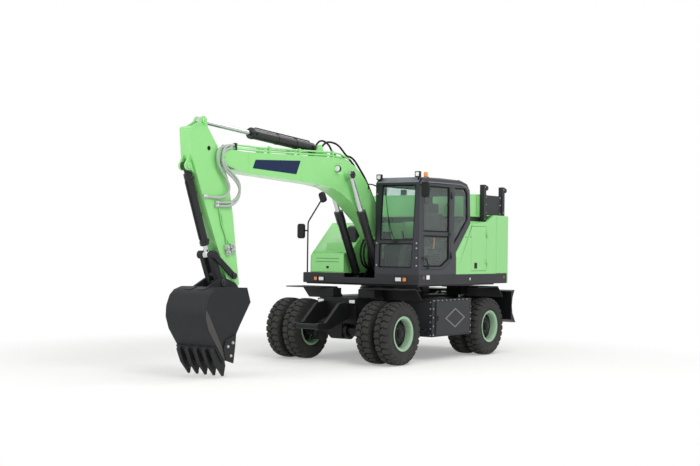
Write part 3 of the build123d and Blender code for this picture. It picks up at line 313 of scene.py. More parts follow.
# where a tooth begins to thin, and the tip that it is drawn towards
TOOTH_ROOT_Z, TOOTH_TIP_Z, TOOTH_TIP_X = 0.225, 0.045, 3.412
# how far out the hood's side faces lie, and how near to an edge counts as on it
HOOD_SIDE, HOOD_REACH = 1.238, 0.006
# the hood's outer edges that carry a broad chamfer: ends of each as (x, z)
HOOD_EDGES = {1: [(-1.735, 1.89), (-2.24, 2.425), (-2.24, 2.47), (-2.82, 2.47)],
    -1: [(-0.69, 1.88), (-1.275, 2.42), (-2.82, 2.461)]}


def on_hood_edge(point):
    """True for a point on the hood's outer slanted or top edge."""
    if abs(point.y) < HOOD_SIDE:
        return False
    run = HOOD_EDGES[1 if point.y > 0 else -1]
    for (x0, z0), (x1, z1) in zip(run, run[1:]):
        step = Vector((x1 - x0, z1 - z0))
        here = Vector((point.x - x0, point.z - z0))
        share = here.dot(step) / step.length_squared
        if -0.002 < share < 1.002 and (here - step * share).length < HOOD_REACH:
            return True
    return False


def sharpen_teeth(bm):
    """Draws the tips of the bucket's teeth together."""
    bmesh.ops.bisect_plane(bm, geom=bm.verts[:] + bm.edges[:] + bm.faces[:], plane_co=(0, 0, TOOTH_ROOT_Z),
        plane_no=(0, 0, 1))
    for vert in bm.verts:
        if vert.co.z < TOOTH_TIP_Z:
            middle = round(vert.co.y / TOOTH_PITCH) * TOOTH_PITCH
            vert.co.y = middle + (vert.co.y - middle) * 0.4
            vert.co.x = TOOTH_TIP_X + (vert.co.x - TOOTH_TIP_X) * 0.6


def dressed(node, material, width, segments=2, chamfer=0.0, reshape=None):
    """A CAD node's own shape with rounded edges and a finish, in its place."""
    bm = bmesh.new()
    bm.from_mesh(frame["nodes"][node].data)
    bmesh.ops.remove_doubles(bm, verts=bm.verts, dist=0.00002)
    bmesh.ops.dissolve_limit(bm, angle_limit=radians(0.6), verts=bm.verts, edges=bm.edges)
    if reshape:
        reshape(bm)
    if chamfer:
        edges = [edge for edge in bm.edges if all(on_hood_edge(vert.co) for vert in edge.verts)]
        bmesh.ops.bevel(bm, geom=edges, offset=chamfer, segments=1, affect="EDGES", profile=0.5)
    obj = from_bmesh(f"{node}_skin", bm)
    rounded(obj, width, segments)
    finish_piece(obj, node_body(node), material, node_slot(node))
    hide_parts(node)


def finish_node(node, material):
    """A CAD node whose shape is right gets its finish."""
    mesh = frame["nodes"][node].data
    mesh.materials.clear()
    mesh.materials.append(material)


def drawn(*forms):
    """A bmesh with forms in it; each is given as its drawing function and the values for it."""
    bm = bmesh.new()
    for draw, *values in forms:
        draw(bm, *values)
    return bm


def corner_at(bm, axis, u, v, w):
    """A corner at a place across an axis (u, v) and along it (w)."""
    return bm.verts.new({"Y": (u, w, v), "X": (w, u, v), "Z": (u, v, w)}[axis])


def strip(bm, first, second):
    """Adds the faces between two closed loops of corners."""
    for i in range(len(first)):
        j = (i + 1) % len(first)
        bm.faces.new((first[i], first[j], second[j], second[i]))


def slab(bm, points, low, high, axis="Y"):
    """Adds a prism: an outline in the plane square to an axis, drawn out between two places along it."""
    ends = [[corner_at(bm, axis, *point, place) for point in points] for place in sorted((low, high))]
    for end in ends:
        bm.faces.new(end)
    strip(bm, *ends)


def inset(points, width):
    """An outline drawn in by a width; negative widths draw it out."""
    area = sum(a[0] * b[1] - b[0] * a[1] for a, b in zip(points, points[1:] + points[:1]))
    turn = 1 if area > 0 else -1
    result = []
    for i, point in enumerate(points):
        here, before, after = Vector(point), Vector(points[i - 1]), Vector(points[(i + 1) % len(points)])
        first, second = (here - before).normalized(), (after - here).normalized()
        normal = [Vector((-d.y, d.x)) * turn for d in (first, second)]
        middle = (normal[0] + normal[1]).normalized()
        result.append(tuple(here + middle * width / max(0.3, middle.dot(normal[0]))))
    return result


def band(bm, points, width, low, high, axis="Y"):
    """Adds a closed frame between an outline and its inset, between two places along an axis."""
    low, high = sorted((low, high))
    inner = inset(points, width)
    loops = [[corner_at(bm, axis, *point, place) for point in loop] for loop, place in ((points, low),
        (points, high), (inner, high), (inner, low))]
    for first, second in zip(loops, loops[1:] + loops[:1]):
        strip(bm, first, second)


def oblong(u_low, v_low, u_high, v_high):
    """The outline of a rectangle."""
    return [(u_low, v_low), (u_high, v_low), (u_high, v_high), (u_low, v_high)]


def brick(bm, low, high):
    """Adds a box between two corners."""
    slab(bm, oblong(low[0], low[2], high[0], high[2]), low[1], high[1])


def bar_ring(radius, thick, sides):
    """The closed profile of a ring of round bar."""
    return [(radius + thick * cos(2 * pi * i / sides), thick * sin(2 * pi * i / sides)) for i in range(sides)]


def turned(bm, profile, centre, axis, segments=48, closed=False):
    """Adds a turned form: profile of (radius, place along the axis) about an axis through a centre."""
    axis = Vector(axis).normalized()
    side_dir = axis.orthogonal().normalized()
    up_dir = axis.cross(side_dir)
    rings = []
    for radius, along in profile:
        middle = Vector(centre) + axis * along
        if radius < 1e-6:
            rings.append([bm.verts.new(middle)])
            continue
        ring = []
        for i in range(segments):
            turn = 2 * pi * i / segments
            ring.append(bm.verts.new(middle + (side_dir * cos(turn) + up_dir * sin(turn)) * radius))
        rings.append(ring)
    for a, b in list(zip(rings, rings[1:])) + ([(rings[-1], rings[0])] if closed else []):
        for i in range(segments):
            j = (i + 1) % segments
            face = list(dict.fromkeys((a[i % len(a)], a[j % len(a)], b[j % len(b)], b[i % len(b)])))
            if len(face) > 2:
                bm.faces.new(face)


def plug(bm, profile, centre, axis, segments):
    """Adds a turned form whose profile is closed at both ends on its axis."""
    turned(bm, [(0, profile[0][1]), *profile, (0, profile[-1][1])], centre, axis, segments)


def tube(name, points, radius, body, material, bends=True, slot=None):
    """A hose, rail or pipe along a smooth curve through given points, closed at its ends."""
    curve = bpy.data.curves.new(name, "CURVE")
    curve.dimensions = "3D"
    curve.bevel_depth = radius
    curve.bevel_resolution = 3
    curve.use_fill_caps = True
    curve.resolution_u = 8 if bends else 1
    spline = curve.splines.new("NURBS" if bends else "POLY")
    spline.points.add(len(points) - 1)
    for point, place in zip(spline.points, points):
        point.co = (*place, 1)
    if bends:
        spline.order_u = 3
        spline.use_endpoint_u = True
    source = bpy.data.objects.new(name, curve)
    scene.collection.objects.link(source)
    graph = bpy.context.evaluated_depsgraph_get()
    mesh = bpy.data.meshes.new_from_object(source.evaluated_get(graph))
    bpy.data.objects.remove(source)
    for polygon in mesh.polygons:
        polygon.use_smooth = True
    return finish_piece(to_object(name, mesh), body, material, slot)


# ---------- geometry node trees
def stamp_tree(name, ring):
    """A tree that repeats a part: its own mesh round a ring, or another object's mesh at its own points."""
    tree = bpy.data.node_groups.new(name, "GeometryNodeTree")
    tree.is_modifier = True
    for label, kind in (("Geometry", "Geometry"), ("Part", "Object"), ("Count", "Int"), ("Turn", "Vector"),
            ("Centre", "Vector"), ("Finish", "Material")):
        tree.interface.new_socket(label, in_out="INPUT", socket_type=f"NodeSocket{kind}")
    tree.interface.new_socket("Geometry", in_out="OUTPUT", socket_type="NodeSocketGeometry")
    start = add(tree, "NodeGroupInput").outputs
    if ring:
        places = add(tree, "GeometryNodeMeshLine", {"Count": start["Count"], "Start Location": start["Centre"],
            "Offset": (0, 0, 0)})
        index = add(tree, "GeometryNodeInputIndex")
        turn = add(tree, "ShaderNodeVectorMath", {0: start["Turn"], "Scale": index.outputs[0]},
            operation="SCALE")
        stamps = add(tree, "GeometryNodeInstanceOnPoints", {"Points": places.outputs[0],
            "Instance": start["Geometry"], "Rotation": turn.outputs[0]})
    else:
        part = add(tree, "GeometryNodeObjectInfo", {"Object": start["Part"]})
        stamps = add(tree, "GeometryNodeInstanceOnPoints", {"Points": start["Geometry"],
            "Instance": part.outputs["Geometry"]})
    real = add(tree, "GeometryNodeRealizeInstances", {"Geometry": stamps.outputs[0]})
    paint = add(tree, "GeometryNodeSetMaterial", {"Geometry": real.outputs[0], "Material": start["Finish"]})
    add(tree, "NodeGroupOutput", {0: paint.outputs[0]})
    return tree


AT_POINTS = stamp_tree("parts_at_points", ring=False)
IN_RING = stamp_tree("parts_in_a_ring", ring=True)


def stamped(obj, tree, **inputs):
    """Runs a repeating tree on an object and leaves a plain mesh."""
    modifier = obj.modifiers.new("repeat", "NODES")
    modifier.node_group = tree
    for item in tree.interface.items_tree:
        if item.in_out == "INPUT" and item.name in inputs:
            modifier[item.identifier] = inputs[item.name]
    return baked(obj)


def bolts(name, axis, size, height, places, body, material=ZINC):
    """One piece made of a hexagon head on its washer, standing up along an axis, repeated at places."""
    head = from_bmesh("head", drawn(
        (plug, [(size * 1.3, 0), (size * 1.25, 0.003)], (0, 0, 0), axis, 14),
        (plug, [(size, 0.003), (size, height * 0.85), (size * 0.85, height)], (0, 0, 0), axis, 6)), 30)
    points = bpy.data.meshes.new(name)
    points.from_pydata(places, [], [])
    obj = stamped(to_object(name, points), AT_POINTS, Part=head, Finish=material)
    bpy.data.objects.remove(head)
    finish_piece(obj, body, material)


def join(name, objects):
    """Joins plain-mesh objects into one."""
    bm = bmesh.new()
    for obj in objects:
        bm.from_mesh(obj.data)
        bpy.data.objects.remove(obj)
    return settled(name, bm)


def made(name, bm, body, material, width=0.0, segments=2, angle=40, slot=None):
    """Finishes a piece that was drawn in a bmesh; its edges are rounded by a width."""
    obj = from_bmesh(name, bm, angle)
    if width:
        rounded(obj, width, segments)
    return finish_piece(obj, body, material, slot)


# ---------- camera, floor and light
camera_data = bpy.data.cameras.new("camera")
camera_data.lens = 60.87
camera_data.sensor_width = 36
camera_data.shift_y = 0.0065
camera_data.clip_end = 200
camera = bpy.data.objects.new("camera", camera_data)
camera.location = (16.455, 12.136, 1.916)
YAW, PITCH, ROLL = -2.5121, 0.0105, 0.0124
AIM = Vector((cos(YAW) * cos(PITCH), sin(YAW) * cos(PITCH), sin(PITCH)))
camera.rotation_mode = "QUATERNION"
camera.rotation_quaternion = AIM.to_track_quat("-Z", "Y") @ Quaternion((0, 0, 1), ROLL)
scene.collection.objects.link(camera)
scene.camera = camera
scene.view_settings.view_transform = "Standard"


def white_behind(tree, seen, lit):
    """Mixes what the camera, gloss and glass see with what the light does."""
    path = add(tree, "ShaderNodeLightPath")
    first = add(tree, "ShaderNodeMath", {0: path.outputs["Is Camera Ray"], 1: path.outputs["Is Glossy Ray"]},
        operation="MAXIMUM")
    either = add(tree, "ShaderNodeMath", {0: first.outputs[0], 1: path.outputs["Is Transmission Ray"]},
        operation="MAXIMUM")
    return add(tree, "ShaderNodeMixShader", {"Fac": either.outputs[0], 1: lit.outputs[0], 2: seen.outputs[0]})


world = bpy.data.worlds.new("studio")
scene.world = world
world.use_nodes = True
tree = world.node_tree
tree.nodes.clear()
bright = add(tree, "ShaderNodeBackground", {"Color": (1, 1, 1, 1), "Strength": 1.0})
soft = add(tree, "ShaderNodeBackground", {"Color": (1, 1, 1, 1), "Strength": 0.55})
add(tree, "ShaderNodeOutputWorld", {"Surface": white_behind(tree, bright, soft).outputs[0]})


def studio_floor():
    """A plain pale floor that keeps the shadow near the machine and fades to white away from it."""
    floor = from_bmesh("floor", drawn((slab, oblong(-30, -30, 30, 30), -0.05, -0.001, "Z")))
    material, tree, shader = new_material("studio_floor_pale", None, {"Base Color": colour("#F4F4F2"),
        "Roughness": 0.9})
    place = add(tree, "ShaderNodeTexCoord")
    far = add(tree, "ShaderNodeVectorMath", {0: place.outputs["Object"]}, operation="LENGTH")
    fade = add(tree, "ShaderNodeMapRange", {"Value": far.outputs["Value"], "From Min": 4.0, "From Max": 8.0,
        "To Min": 0.3, "To Max": 1.0}, interpolation_type="SMOOTHSTEP")
    white = add(tree, "ShaderNodeEmission", {"Color": (1, 1, 1, 1), "Strength": 1.0})
    lift = add(tree, "ShaderNodeMixShader", {"Fac": fade.outputs[0], 1: shader.outputs[0], 2: white.outputs[0]})
    end = next(node for node in tree.nodes if node.type == "OUTPUT_MATERIAL")
    tree.links.new(white_behind(tree, lift, shader).outputs[0], end.inputs["Surface"])
    floor.data.materials.append(material)


studio_floor()


def lamp(name, place, aim, size, power):
    """A soft square studio lamp."""
    data = bpy.data.lights.new(name, "AREA")
    data.size = size
    data.energy = power
    obj = bpy.data.objects.new(name, data)
    obj.location = place
    obj.rotation_euler = (Vector(aim) - Vector(place)).to_track_quat("-Z", "Y").to_euler()
    scene.collection.objects.link(obj)


lamp("key", (5, 9, 11), (-0.5, 0, 1.2), 7, 790)
lamp("fill", (13, -3, 6), (0, 0, 1.2), 8, 520)
lamp("glare", (-1.6, 6.6, 9.6), (-2.2, 1, 2.2), 1.3, 80)
lamp("overhead", (-4.0, 2, 9.5), (-1.0, 0, 1.5), 2.6, 190)

# ---------- wheels
TYRE_SHAPE = [(0.258, 0.104), (0.27, 0.114), (0.296, 0.1165), (0.306, 0.124), (0.33, 0.131), (0.37, 0.1345),
    (0.41, 0.1345), (0.45, 0.131), (0.475, 0.124), (0.488, 0.113), (0.494, 0.1), (0.497, 0.08), (0.498, 0)]
# one lug across the half tread: lateral place, outer radius, where it starts round the tyre, its width there
LUG_SHAPE = [(0.005, 0.5285, 0, 0.082), (0.026, 0.5285, 0.014, 0.086), (0.048, 0.528, 0.026, 0.09),
    (0.07, 0.526, 0.014, 0.094), (0.092, 0.523, 0.004, 0.096), (0.112, 0.517, 0.006, 0.09),
    (0.1255, 0.506, 0.012, 0.076), (0.1325, 0.488, 0.018, 0.062), (0.134, 0.47, 0.024, 0.048)]
SIDEWALL_RINGS = ((0.318, 0.1275), (0.345, 0.1322), (0.452, 0.1305))
LUG_STEPS = 4
LUG_SINK, LUG_SHOULDER = 0.034, 0.105
HUB_SHAPE = [(0.112, -0.43), (0.12, -0.05), (0.15, 0.0), (0.15, 0.04), (0.143, 0.05), (0.08, 0.054),
    (0.078, 0.072), (0.07, 0.078), (0.046, 0.08), (0.044, 0.088), (0.036, 0.09)]
# spacer between the twin rims, and the inner disc
SPACERS = [[(0.235, -0.14), (0.242, -0.12), (0.242, -0.24), (0.235, -0.26)],
    [(0.112, -0.3), (0.24, -0.3), (0.24, -0.31), (0.112, -0.31)]]
WHEELS = {"front_left": (0, 1), "front_right": (0, -1), "rear_left": (-2.9, 1), "rear_right": (-2.9, -1)}
HUB_Z = 0.53
TREAD_R = 0.5285
LUGS = 28
HOLE_RING_R, NUT_RING_R, NUT_FACE = 0.196, 0.122, 0.0505
OUTER_Y, INNER_Y = 1.15, 0.78


def tread_lug(bm, side, offset):
    """One closed lug of the traction tread, wrapped round the tyre and down its shoulder."""
    rows = []
    for across, radius, start, width in LUG_SHAPE:
        top, foot = [], []
        for step in range(LUG_STEPS + 1):
            share = step / LUG_STEPS
            for ring, r, flare in ((top, radius, 0), (foot, radius - LUG_SINK, 0.004)):
                turn = (offset + start + width * share + flare * (2 * share - 1)) / TREAD_R
                inward = 0.0 if ring is top else 0.6 * max(0.0, across - LUG_SHOULDER)
                ring.append(bm.verts.new((r * sin(turn), (across - inward) * side, -r * cos(turn))))
        rows.append((top, foot))
    for (top, foot), (next_top, next_foot) in zip(rows, rows[1:]):
        for j in range(LUG_STEPS):
            bm.faces.new((top[j], top[j + 1], next_top[j + 1], next_top[j]))
            bm.faces.new((foot[j], foot[j + 1], next_foot[j + 1], next_foot[j]))
        for j in (0, LUG_STEPS):
            bm.faces.new((top[j], foot[j], next_foot[j], next_top[j]))
    for top, foot in (rows[0], rows[-1]):
        for j in range(LUG_STEPS):
            bm.faces.new((top[j], top[j + 1], foot[j + 1], foot[j]))


def tyre(name, hub_x, y):
    """A twin-wheel tyre: turned carcass, moulded rings on the sidewall and a ring of tread lugs."""
    hub = (hub_x, y, HUB_Z)
    bm = bmesh.new()
    turned(bm, TYRE_SHAPE + [(r, -w) for r, w in reversed(TYRE_SHAPE[:-1])], hub, (0, 1, 0), 96)
    for ring_r, wall in SIDEWALL_RINGS:
        for side in (1, -1):
            turned(bm, [(ring_r - 0.004, side * wall), (ring_r - 0.002, side * (wall + 0.003)),
                (ring_r + 0.002, side * (wall + 0.003)), (ring_r + 0.004, side * wall)], hub, (0, 1, 0), 72)
    carcass = from_bmesh(f"{name}_carcass", bm, 50)
    pitch = 2 * pi * TREAD_R / LUGS
    bm = bmesh.new()
    tread_lug(bm, 1, 0.0)
    tread_lug(bm, -1, pitch / 2)
    lugs = from_bmesh(f"{name}_lugs", bm, 30)
    rounded(lugs, 0.0035, 1)
    stamped(lugs, IN_RING, Count=LUGS, Turn=(0, 2 * pi / LUGS, 0), Centre=hub, Finish=RUBBER)
    return join(name, [carcass, lugs])


def rim(name, hub_x, y, out):
    """One rim: rolled flange and a deep barrel. out is +1 or -1, the side the flange faces."""
    profile = [(0.254, 0.104), (0.262, 0.1165), (0.288, 0.1185), (0.2945, 0.124), (0.293, 0.13), (0.286, 0.13),
        (0.27, 0.1265), (0.256, 0.122), (0.248, 0.11), (0.243, 0.085), (0.241, 0.03), (0.24, -0.1),
        (0.246, -0.112), (0.253, -0.112), (0.253, -0.06)]
    return from_bmesh(name, drawn((turned, [(r, w * out) for r, w in profile], (hub_x, y, HUB_Z), (0, 1, 0), 80,
        True)), 35)


def wheel_disc(name, hub, out):
    """The disc deep in the rim, with a ring of hand holes cut by boolean."""
    profile = [(0.2405, -0.01), (0.2405, 0.002), (0.205, 0.006), (0.165, 0.022), (0.11, 0.024), (0.11, 0.012),
        (0.16, 0.008), (0.2, -0.008)]
    plate = from_bmesh(name, drawn((turned, [(r, w * out) for r, w in profile], hub, (0, 1, 0), 72, True)), 35)
    bm = bmesh.new()
    for i in range(8):
        turn = 2 * pi * (i + 0.5) / 8
        middle = (hub[0] + HOLE_RING_R * cos(turn), hub[1], hub[2] + HOLE_RING_R * sin(turn))
        plug(bm, [(0.024, -0.2), (0.024, 0.2)], middle, (0, 1, 0), 20)
    cutter = from_bmesh(f"{name}_holes", bm)
    cut = plate.modifiers.new("holes", "BOOLEAN")
    cut.operation = "DIFFERENCE"
    cut.object = cutter
    cut.solver = "EXACT"
    baked(plate)
    bpy.data.objects.remove(cutter)
    return plate


for wheel, (hub_x, side) in WHEELS.items():
    body = f"wheel_{wheel}"
    hub = (hub_x, OUTER_Y * side, HUB_Z)
    for where, y, out in (("outer", OUTER_Y, side), ("inner", INNER_Y, -side)):
        rubber = finish_piece(tyre(f"tyre_{wheel}_{where}", hub_x, y * side), body, RUBBER)
        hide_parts(f"tyres_{wheel}")
        steel = finish_piece(rim(f"rim_{wheel}_{where}", hub_x, y * side, out), body, RIM_GREEN)
        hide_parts(f"rims_{wheel}")
    disc = finish_piece(wheel_disc(f"wheel_disc_{wheel}", hub, side), body, BLACK)
    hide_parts(f"rims_{wheel}")
    bm = bmesh.new()
    plug(bm, [(r, w * side) for r, w in HUB_SHAPE], hub, (0, 1, 0), 56)
    for profile in SPACERS:
        turned(bm, [(r, w * side) for r, w in profile], hub, (0, 1, 0), 60, True)
    centre_piece = made(f"wheel_hub_{wheel}", bm, body, BLACK, angle=30)
    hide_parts(f"rims_{wheel}")
    bolts(f"wheel_nuts_{wheel}", (0, side, 0), 0.013, 0.02, [(hub_x + NUT_RING_R * cos(pi * i / 5),
        hub[1] + NUT_FACE * side, HUB_Z + NUT_RING_R * sin(pi * i / 5)) for i in range(10)], body, DARK)

# ---------- steel bodies with rounded edges
SPECIAL = {"body_hood": {"chamfer": 0.055}, "bucket": {"reshape": sharpen_teeth}}
for material, segments, width, nodes in (
        (GREEN, 3, 0.02, "counterweight"), (GREEN, 3, 0.006, "boom"), (GREEN, 3, 0.005, "arm"),
        (GREEN, 3, 0.008, "power_module"), (GREEN, 3, 0.005, "toolbox"),
        (GREEN, 3, 0.008, "toolbox_lid service_door_left service_door_right"), (GREEN, 3, 0.01, "body_hood"),
        (BLACK, 2, 0.005, "chassis_frame"), (BLACK, 2, 0.003, "slew_ring"),
        (BLACK, 2, 0.008, "front_axle rear_axle"), (BLACK, 2, 0.01, "transmission"),
        (BLACK, 2, 0.004, "knuckle_left knuckle_right blade blade_arms blade_links"),
        (BLACK, 2, 0.006, "upper_frame"), (BLACK, 2, 0.008, "cab_base"), (BLACK, 2, 0.004, "mudguards"),
        (DARK, 2, 0.006, "side_box_left side_box_right"), (DARK, 2, 0.008, "module_rack"),
        (DARK, 2, 0.006, "side_box_door_left side_box_door_right"), (DARK, 2, 0.016, "skirts"),
        (CAB_GREY, 3, 0.014, "cab_shell"), (CAB_GREY, 3, 0.01, "cab_door"),
        (BUCKET, 2, 0.005, "bucket"), (BUCKET, 2, 0.006, "bucket_link bucket_rockers"),
        (BARREL, 2, 0.003, "boom_cylinder_barrels arm_cylinder_barrel bucket_cylinder_barrel blade_barrels"),
        (CHROME, 2, 0.003, "boom_cylinder_rods arm_cylinder_rod bucket_cylinder_rod blade_rods")):
    for node in nodes.split():
        dressed(node, material, width, segments, **SPECIAL.get(node, {}))
finish_node("cab_glass", GLASS)
finish_node("cab_door_glass", GLASS)

# ---------- cab
CAB_OUT, CAB_IN = 1.24, 0.33
CAB_MID = (CAB_OUT + CAB_IN) / 2
SEAL_GAP = 0.0005
SIDE_WINDOWS = {
    "door_upper": [(-0.64, 2.245), (-0.64, 3.045), (-1.48, 3.045), (-1.48, 2.245)],
    "door_lower": [(-0.64, 2.185), (-0.64, 1.64), (-1.23, 1.64), (-1.48, 1.77), (-1.48, 2.185)],
    "quarter": [(-1.65, 2.04), (-1.65, 3.05), (-2.01, 3.05), (-2.1, 2.96), (-2.12, 2.5),
        (-2.01, 2.38)],
    "far_side": [(-0.64, 1.75), (-0.64, 3.05), (-1.98, 3.05), (-2.06, 3.0), (-2.08, 2.48),
        (-1.72, 2.05), (-1.45, 1.75)]}
FRONT_WINDOWS = {
    "screen_upper": [(0.42, 2.09), (0.465, 3.05), (1.165, 3.05), (1.12, 2.09)],
    "screen_lower": [(0.405, 1.62), (0.415, 2.045), (1.11, 2.045), (1.08, 1.62)]}
bm = bmesh.new()
for key in ("quarter", "far_side"):
    y = CAB_OUT - 0.034 if key == "quarter" else CAB_IN + 0.016
    band(bm, inset(SIDE_WINDOWS[key], SEAL_GAP), 0.022, y, y + 0.018)
for points in FRONT_WINDOWS.values():
    band(bm, inset(points, SEAL_GAP), 0.02, -0.532, -0.514, "X")
band(bm, oblong(0.4305, 2.5055, 1.1395, 2.9445), 0.02, -2.178, -2.16, "X")
made("window_seals", bm, "upper", SEAL, 0.003)
made("door_window_seals", drawn(*[(band, inset(SIDE_WINDOWS[key], SEAL_GAP), 0.024, CAB_OUT - 0.034,
    CAB_OUT - 0.008) for key in ("door_upper", "door_lower")]), "cab_door", SEAL, 0.003)

# roof cap with its gutter strip
made("roof_cap", drawn((slab, [(-0.513, 3.1), (-0.575, 3.18), (-1.2, 3.194), (-1.885, 3.19), (-2.094, 3.143),
    (-2.08, 3.129), (-1.88, 3.174), (-0.58, 3.164), (-0.509, 3.086)], CAB_IN + 0.03, CAB_OUT - 0.03)), "upper",
    ROOF_GREY, 0.008, 3)
made("roof_gutter", drawn((slab, [(-0.56, 3.094), (-0.575, 3.11), (-1.87, 3.122), (-2.055, 3.078),
    (-2.14, 2.99), (-2.128, 2.984), (-2.048, 3.064), (-1.868, 3.108)], CAB_OUT - 0.002, CAB_OUT + 0.01)),
    "upper", ROOF_GREY, 0.003)


def work_lamp(name, centre, size, body):
    """A square work lamp that faces forward: finned housing, bezel, lens and its bracket."""
    x, y, z = centre
    h = size / 2
    made(f"{name}_housing", drawn((brick, (x - 0.05, y - h, z - h), (x, y + h, z + h)),
        (brick, (x - 0.07, y - h * 0.7, z - h * 0.7), (x - 0.05, y + h * 0.7, z + h * 0.7)),
        (brick, (x - 0.045, y - 0.012, z - h - 0.05), (x - 0.025, y + 0.012, z - h)),
        (band, oblong(y - h, z - h, y + h, z + h), 0.014, x, x + 0.008, "X")), body, PLASTIC, 0.004)
    made(f"{name}_lens", drawn((brick, (x, y - h + 0.015, z - h + 0.015), (x + 0.005, y + h - 0.015,
        z + h - 0.015))), body, LENS, 0.002)


work_lamp("cab_lamp_right", (-0.5, 0.395, 3.19), 0.098, "upper")
work_lamp("cab_lamp_left", (-0.5, 1.19, 3.225), 0.098, "upper")
made("beacon_base", drawn((plug, [(0.05, 0), (0.05, 0.018), (0.04, 0.024)], (-0.91, 1.1, 3.178), (0, 0, 1), 32),
    *[(plug, [(0.014, 0), (0.014, 0.014), (0.008, 0.02)], (x, 1.205, 3.176), (0, 0, 1), 16)
    for x in (-0.823, -1.83)]), "upper", PLASTIC, angle=35)
made("beacon_dome", drawn((plug, [(0.036, 0.022), (0.038, 0.085), (0.034, 0.1), (0.02, 0.112)],
    (-0.91, 1.1, 3.18), (0, 0, 1), 32)), "upper", AMBER, angle=50)
tube("front_rail", [(-0.505, 0.35, 3.03), (-0.44, 0.348, 3.05), (-0.3, 0.346, 3.06), (-0.262, 0.346, 3.055),
    (-0.255, 0.346, 3.02), (-0.255, 0.346, 2.965)], 0.011, "upper", PLASTIC)
tube("door_grab_loop", [(-0.59, 1.236, 1.8), (-0.6, 1.272, 1.8), (-0.64, 1.276, 1.795), (-0.69, 1.276, 1.76),
    (-0.76, 1.276, 1.66), (-0.78, 1.274, 1.62), (-0.782, 1.236, 1.612)], 0.01, "cab_door", PLASTIC)
tube("door_pull", [(-1.44, 1.212, 2.735), (-1.44, 1.258, 2.735), (-1.432, 1.262, 2.7), (-1.432, 1.262, 2.55),
    (-1.44, 1.258, 2.515), (-1.44, 1.212, 2.515)], 0.011, "cab_door", PLASTIC)
made("door_lock", drawn((brick, (-1.52, 1.238, 2.19), (-1.44, 1.25, 2.24)),
    (brick, (-1.505, 1.25, 2.2), (-1.465, 1.262, 2.23))), "cab_door", PLASTIC, 0.003)
made("escape_hammer", drawn((slab, [(-1.005, 1.955), (-1.035, 1.95), (-1.06, 2.14), (-1.03, 2.145)], 1.196,
    1.21)), "cab_door", ORANGE, 0.004)
bolts("pillar_bolts", (1, 0, 0), 0.01, 0.012, [(-0.502, 1.19, z) for z in (1.66, 1.795, 1.96, 2.045)]
    + [(-0.502, 0.365, z) for z in (1.66, 2.045, 2.9)], "upper")
# wiper: arm, blade and its motor cover
tube("wiper_arm", [(-0.512, 0.76, 2.066), (-0.478, 0.74, 2.09), (-0.474, 0.64, 2.4), (-0.474, 0.6, 2.6)], 0.007,
    "upper", PLASTIC)
tube("wiper_blade", [(-0.478, 0.655, 2.2), (-0.476, 0.6, 2.6), (-0.478, 0.545, 2.96)], 0.006, "upper", PLASTIC)
made("wiper_motor_cover", drawn((brick, (-0.512, 0.7, 2.048), (-0.49, 0.82, 2.086))), "upper", PLASTIC, 0.006)


MIRROR_CORNER = 0.045


def mirror_head(name, centre, wide, tall, lean):
    """A mirror's moulded shell with round corners and its glass at the back; lean turns it in degrees."""
    x, y, z = centre
    turn = radians(lean)
    loops = []
    for shrink in (0, 0.01):
        corner = MIRROR_CORNER - shrink
        points = []
        for side_y, side_z, start in ((1, 1, 0), (-1, 1, 90), (-1, -1, 180), (1, -1, 270)):
            for step in range(6):
                angle = radians(start + 18 * step)
                u = side_y * (wide / 2 - MIRROR_CORNER) + corner * cos(angle)
                v = side_z * (tall / 2 - MIRROR_CORNER) + corner * sin(angle)
                points.append((y + u * cos(turn) - v * sin(turn), z + u * sin(turn) + v * cos(turn)))
        loops.append(points)
    shell = made(f"{name}_shell", drawn((slab, loops[0], x - 0.03, x + 0.03, "X")), "upper", PLASTIC, 0.016, 3)
    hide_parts("mirrors")
    made(f"{name}_glass", drawn((slab, inset(loops[1], 0.006), x - 0.0315, x - 0.029, "X")), "upper", MIRROR)


mirror_head("mirror_right_low", (-0.458, -1.2825, 2.25), 0.155, 0.27, 0)
mirror_head("mirror_right_high", (-0.458, -0.8, 2.86), 0.13, 0.19, 22)
mirror_head("mirror_left", (-0.527, 1.345, 2.962), 0.15, 0.27, 0)
for name, points in (
        ("mirror_post_right", [(-0.502, -1.165, 1.48), (-0.502, -1.165, 2.38), (-0.502, -1.155, 2.42),
                (-0.502, -1.13, 2.458), (-0.502, -0.81, 2.88)]),
        ("mirror_branch_right", [(-0.502, -1.165, 2.26), (-0.495, -1.2, 2.26), (-0.48, -1.26, 2.255)]),
        ("mirror_arm_left", [(-0.527, 1.236, 3.04), (-0.527, 1.28, 3.044), (-0.527, 1.32, 3.036),
                (-0.527, 1.34, 3.0)])):
    post = tube(name, points, 0.014, "upper", PLASTIC)
    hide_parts("mirrors")


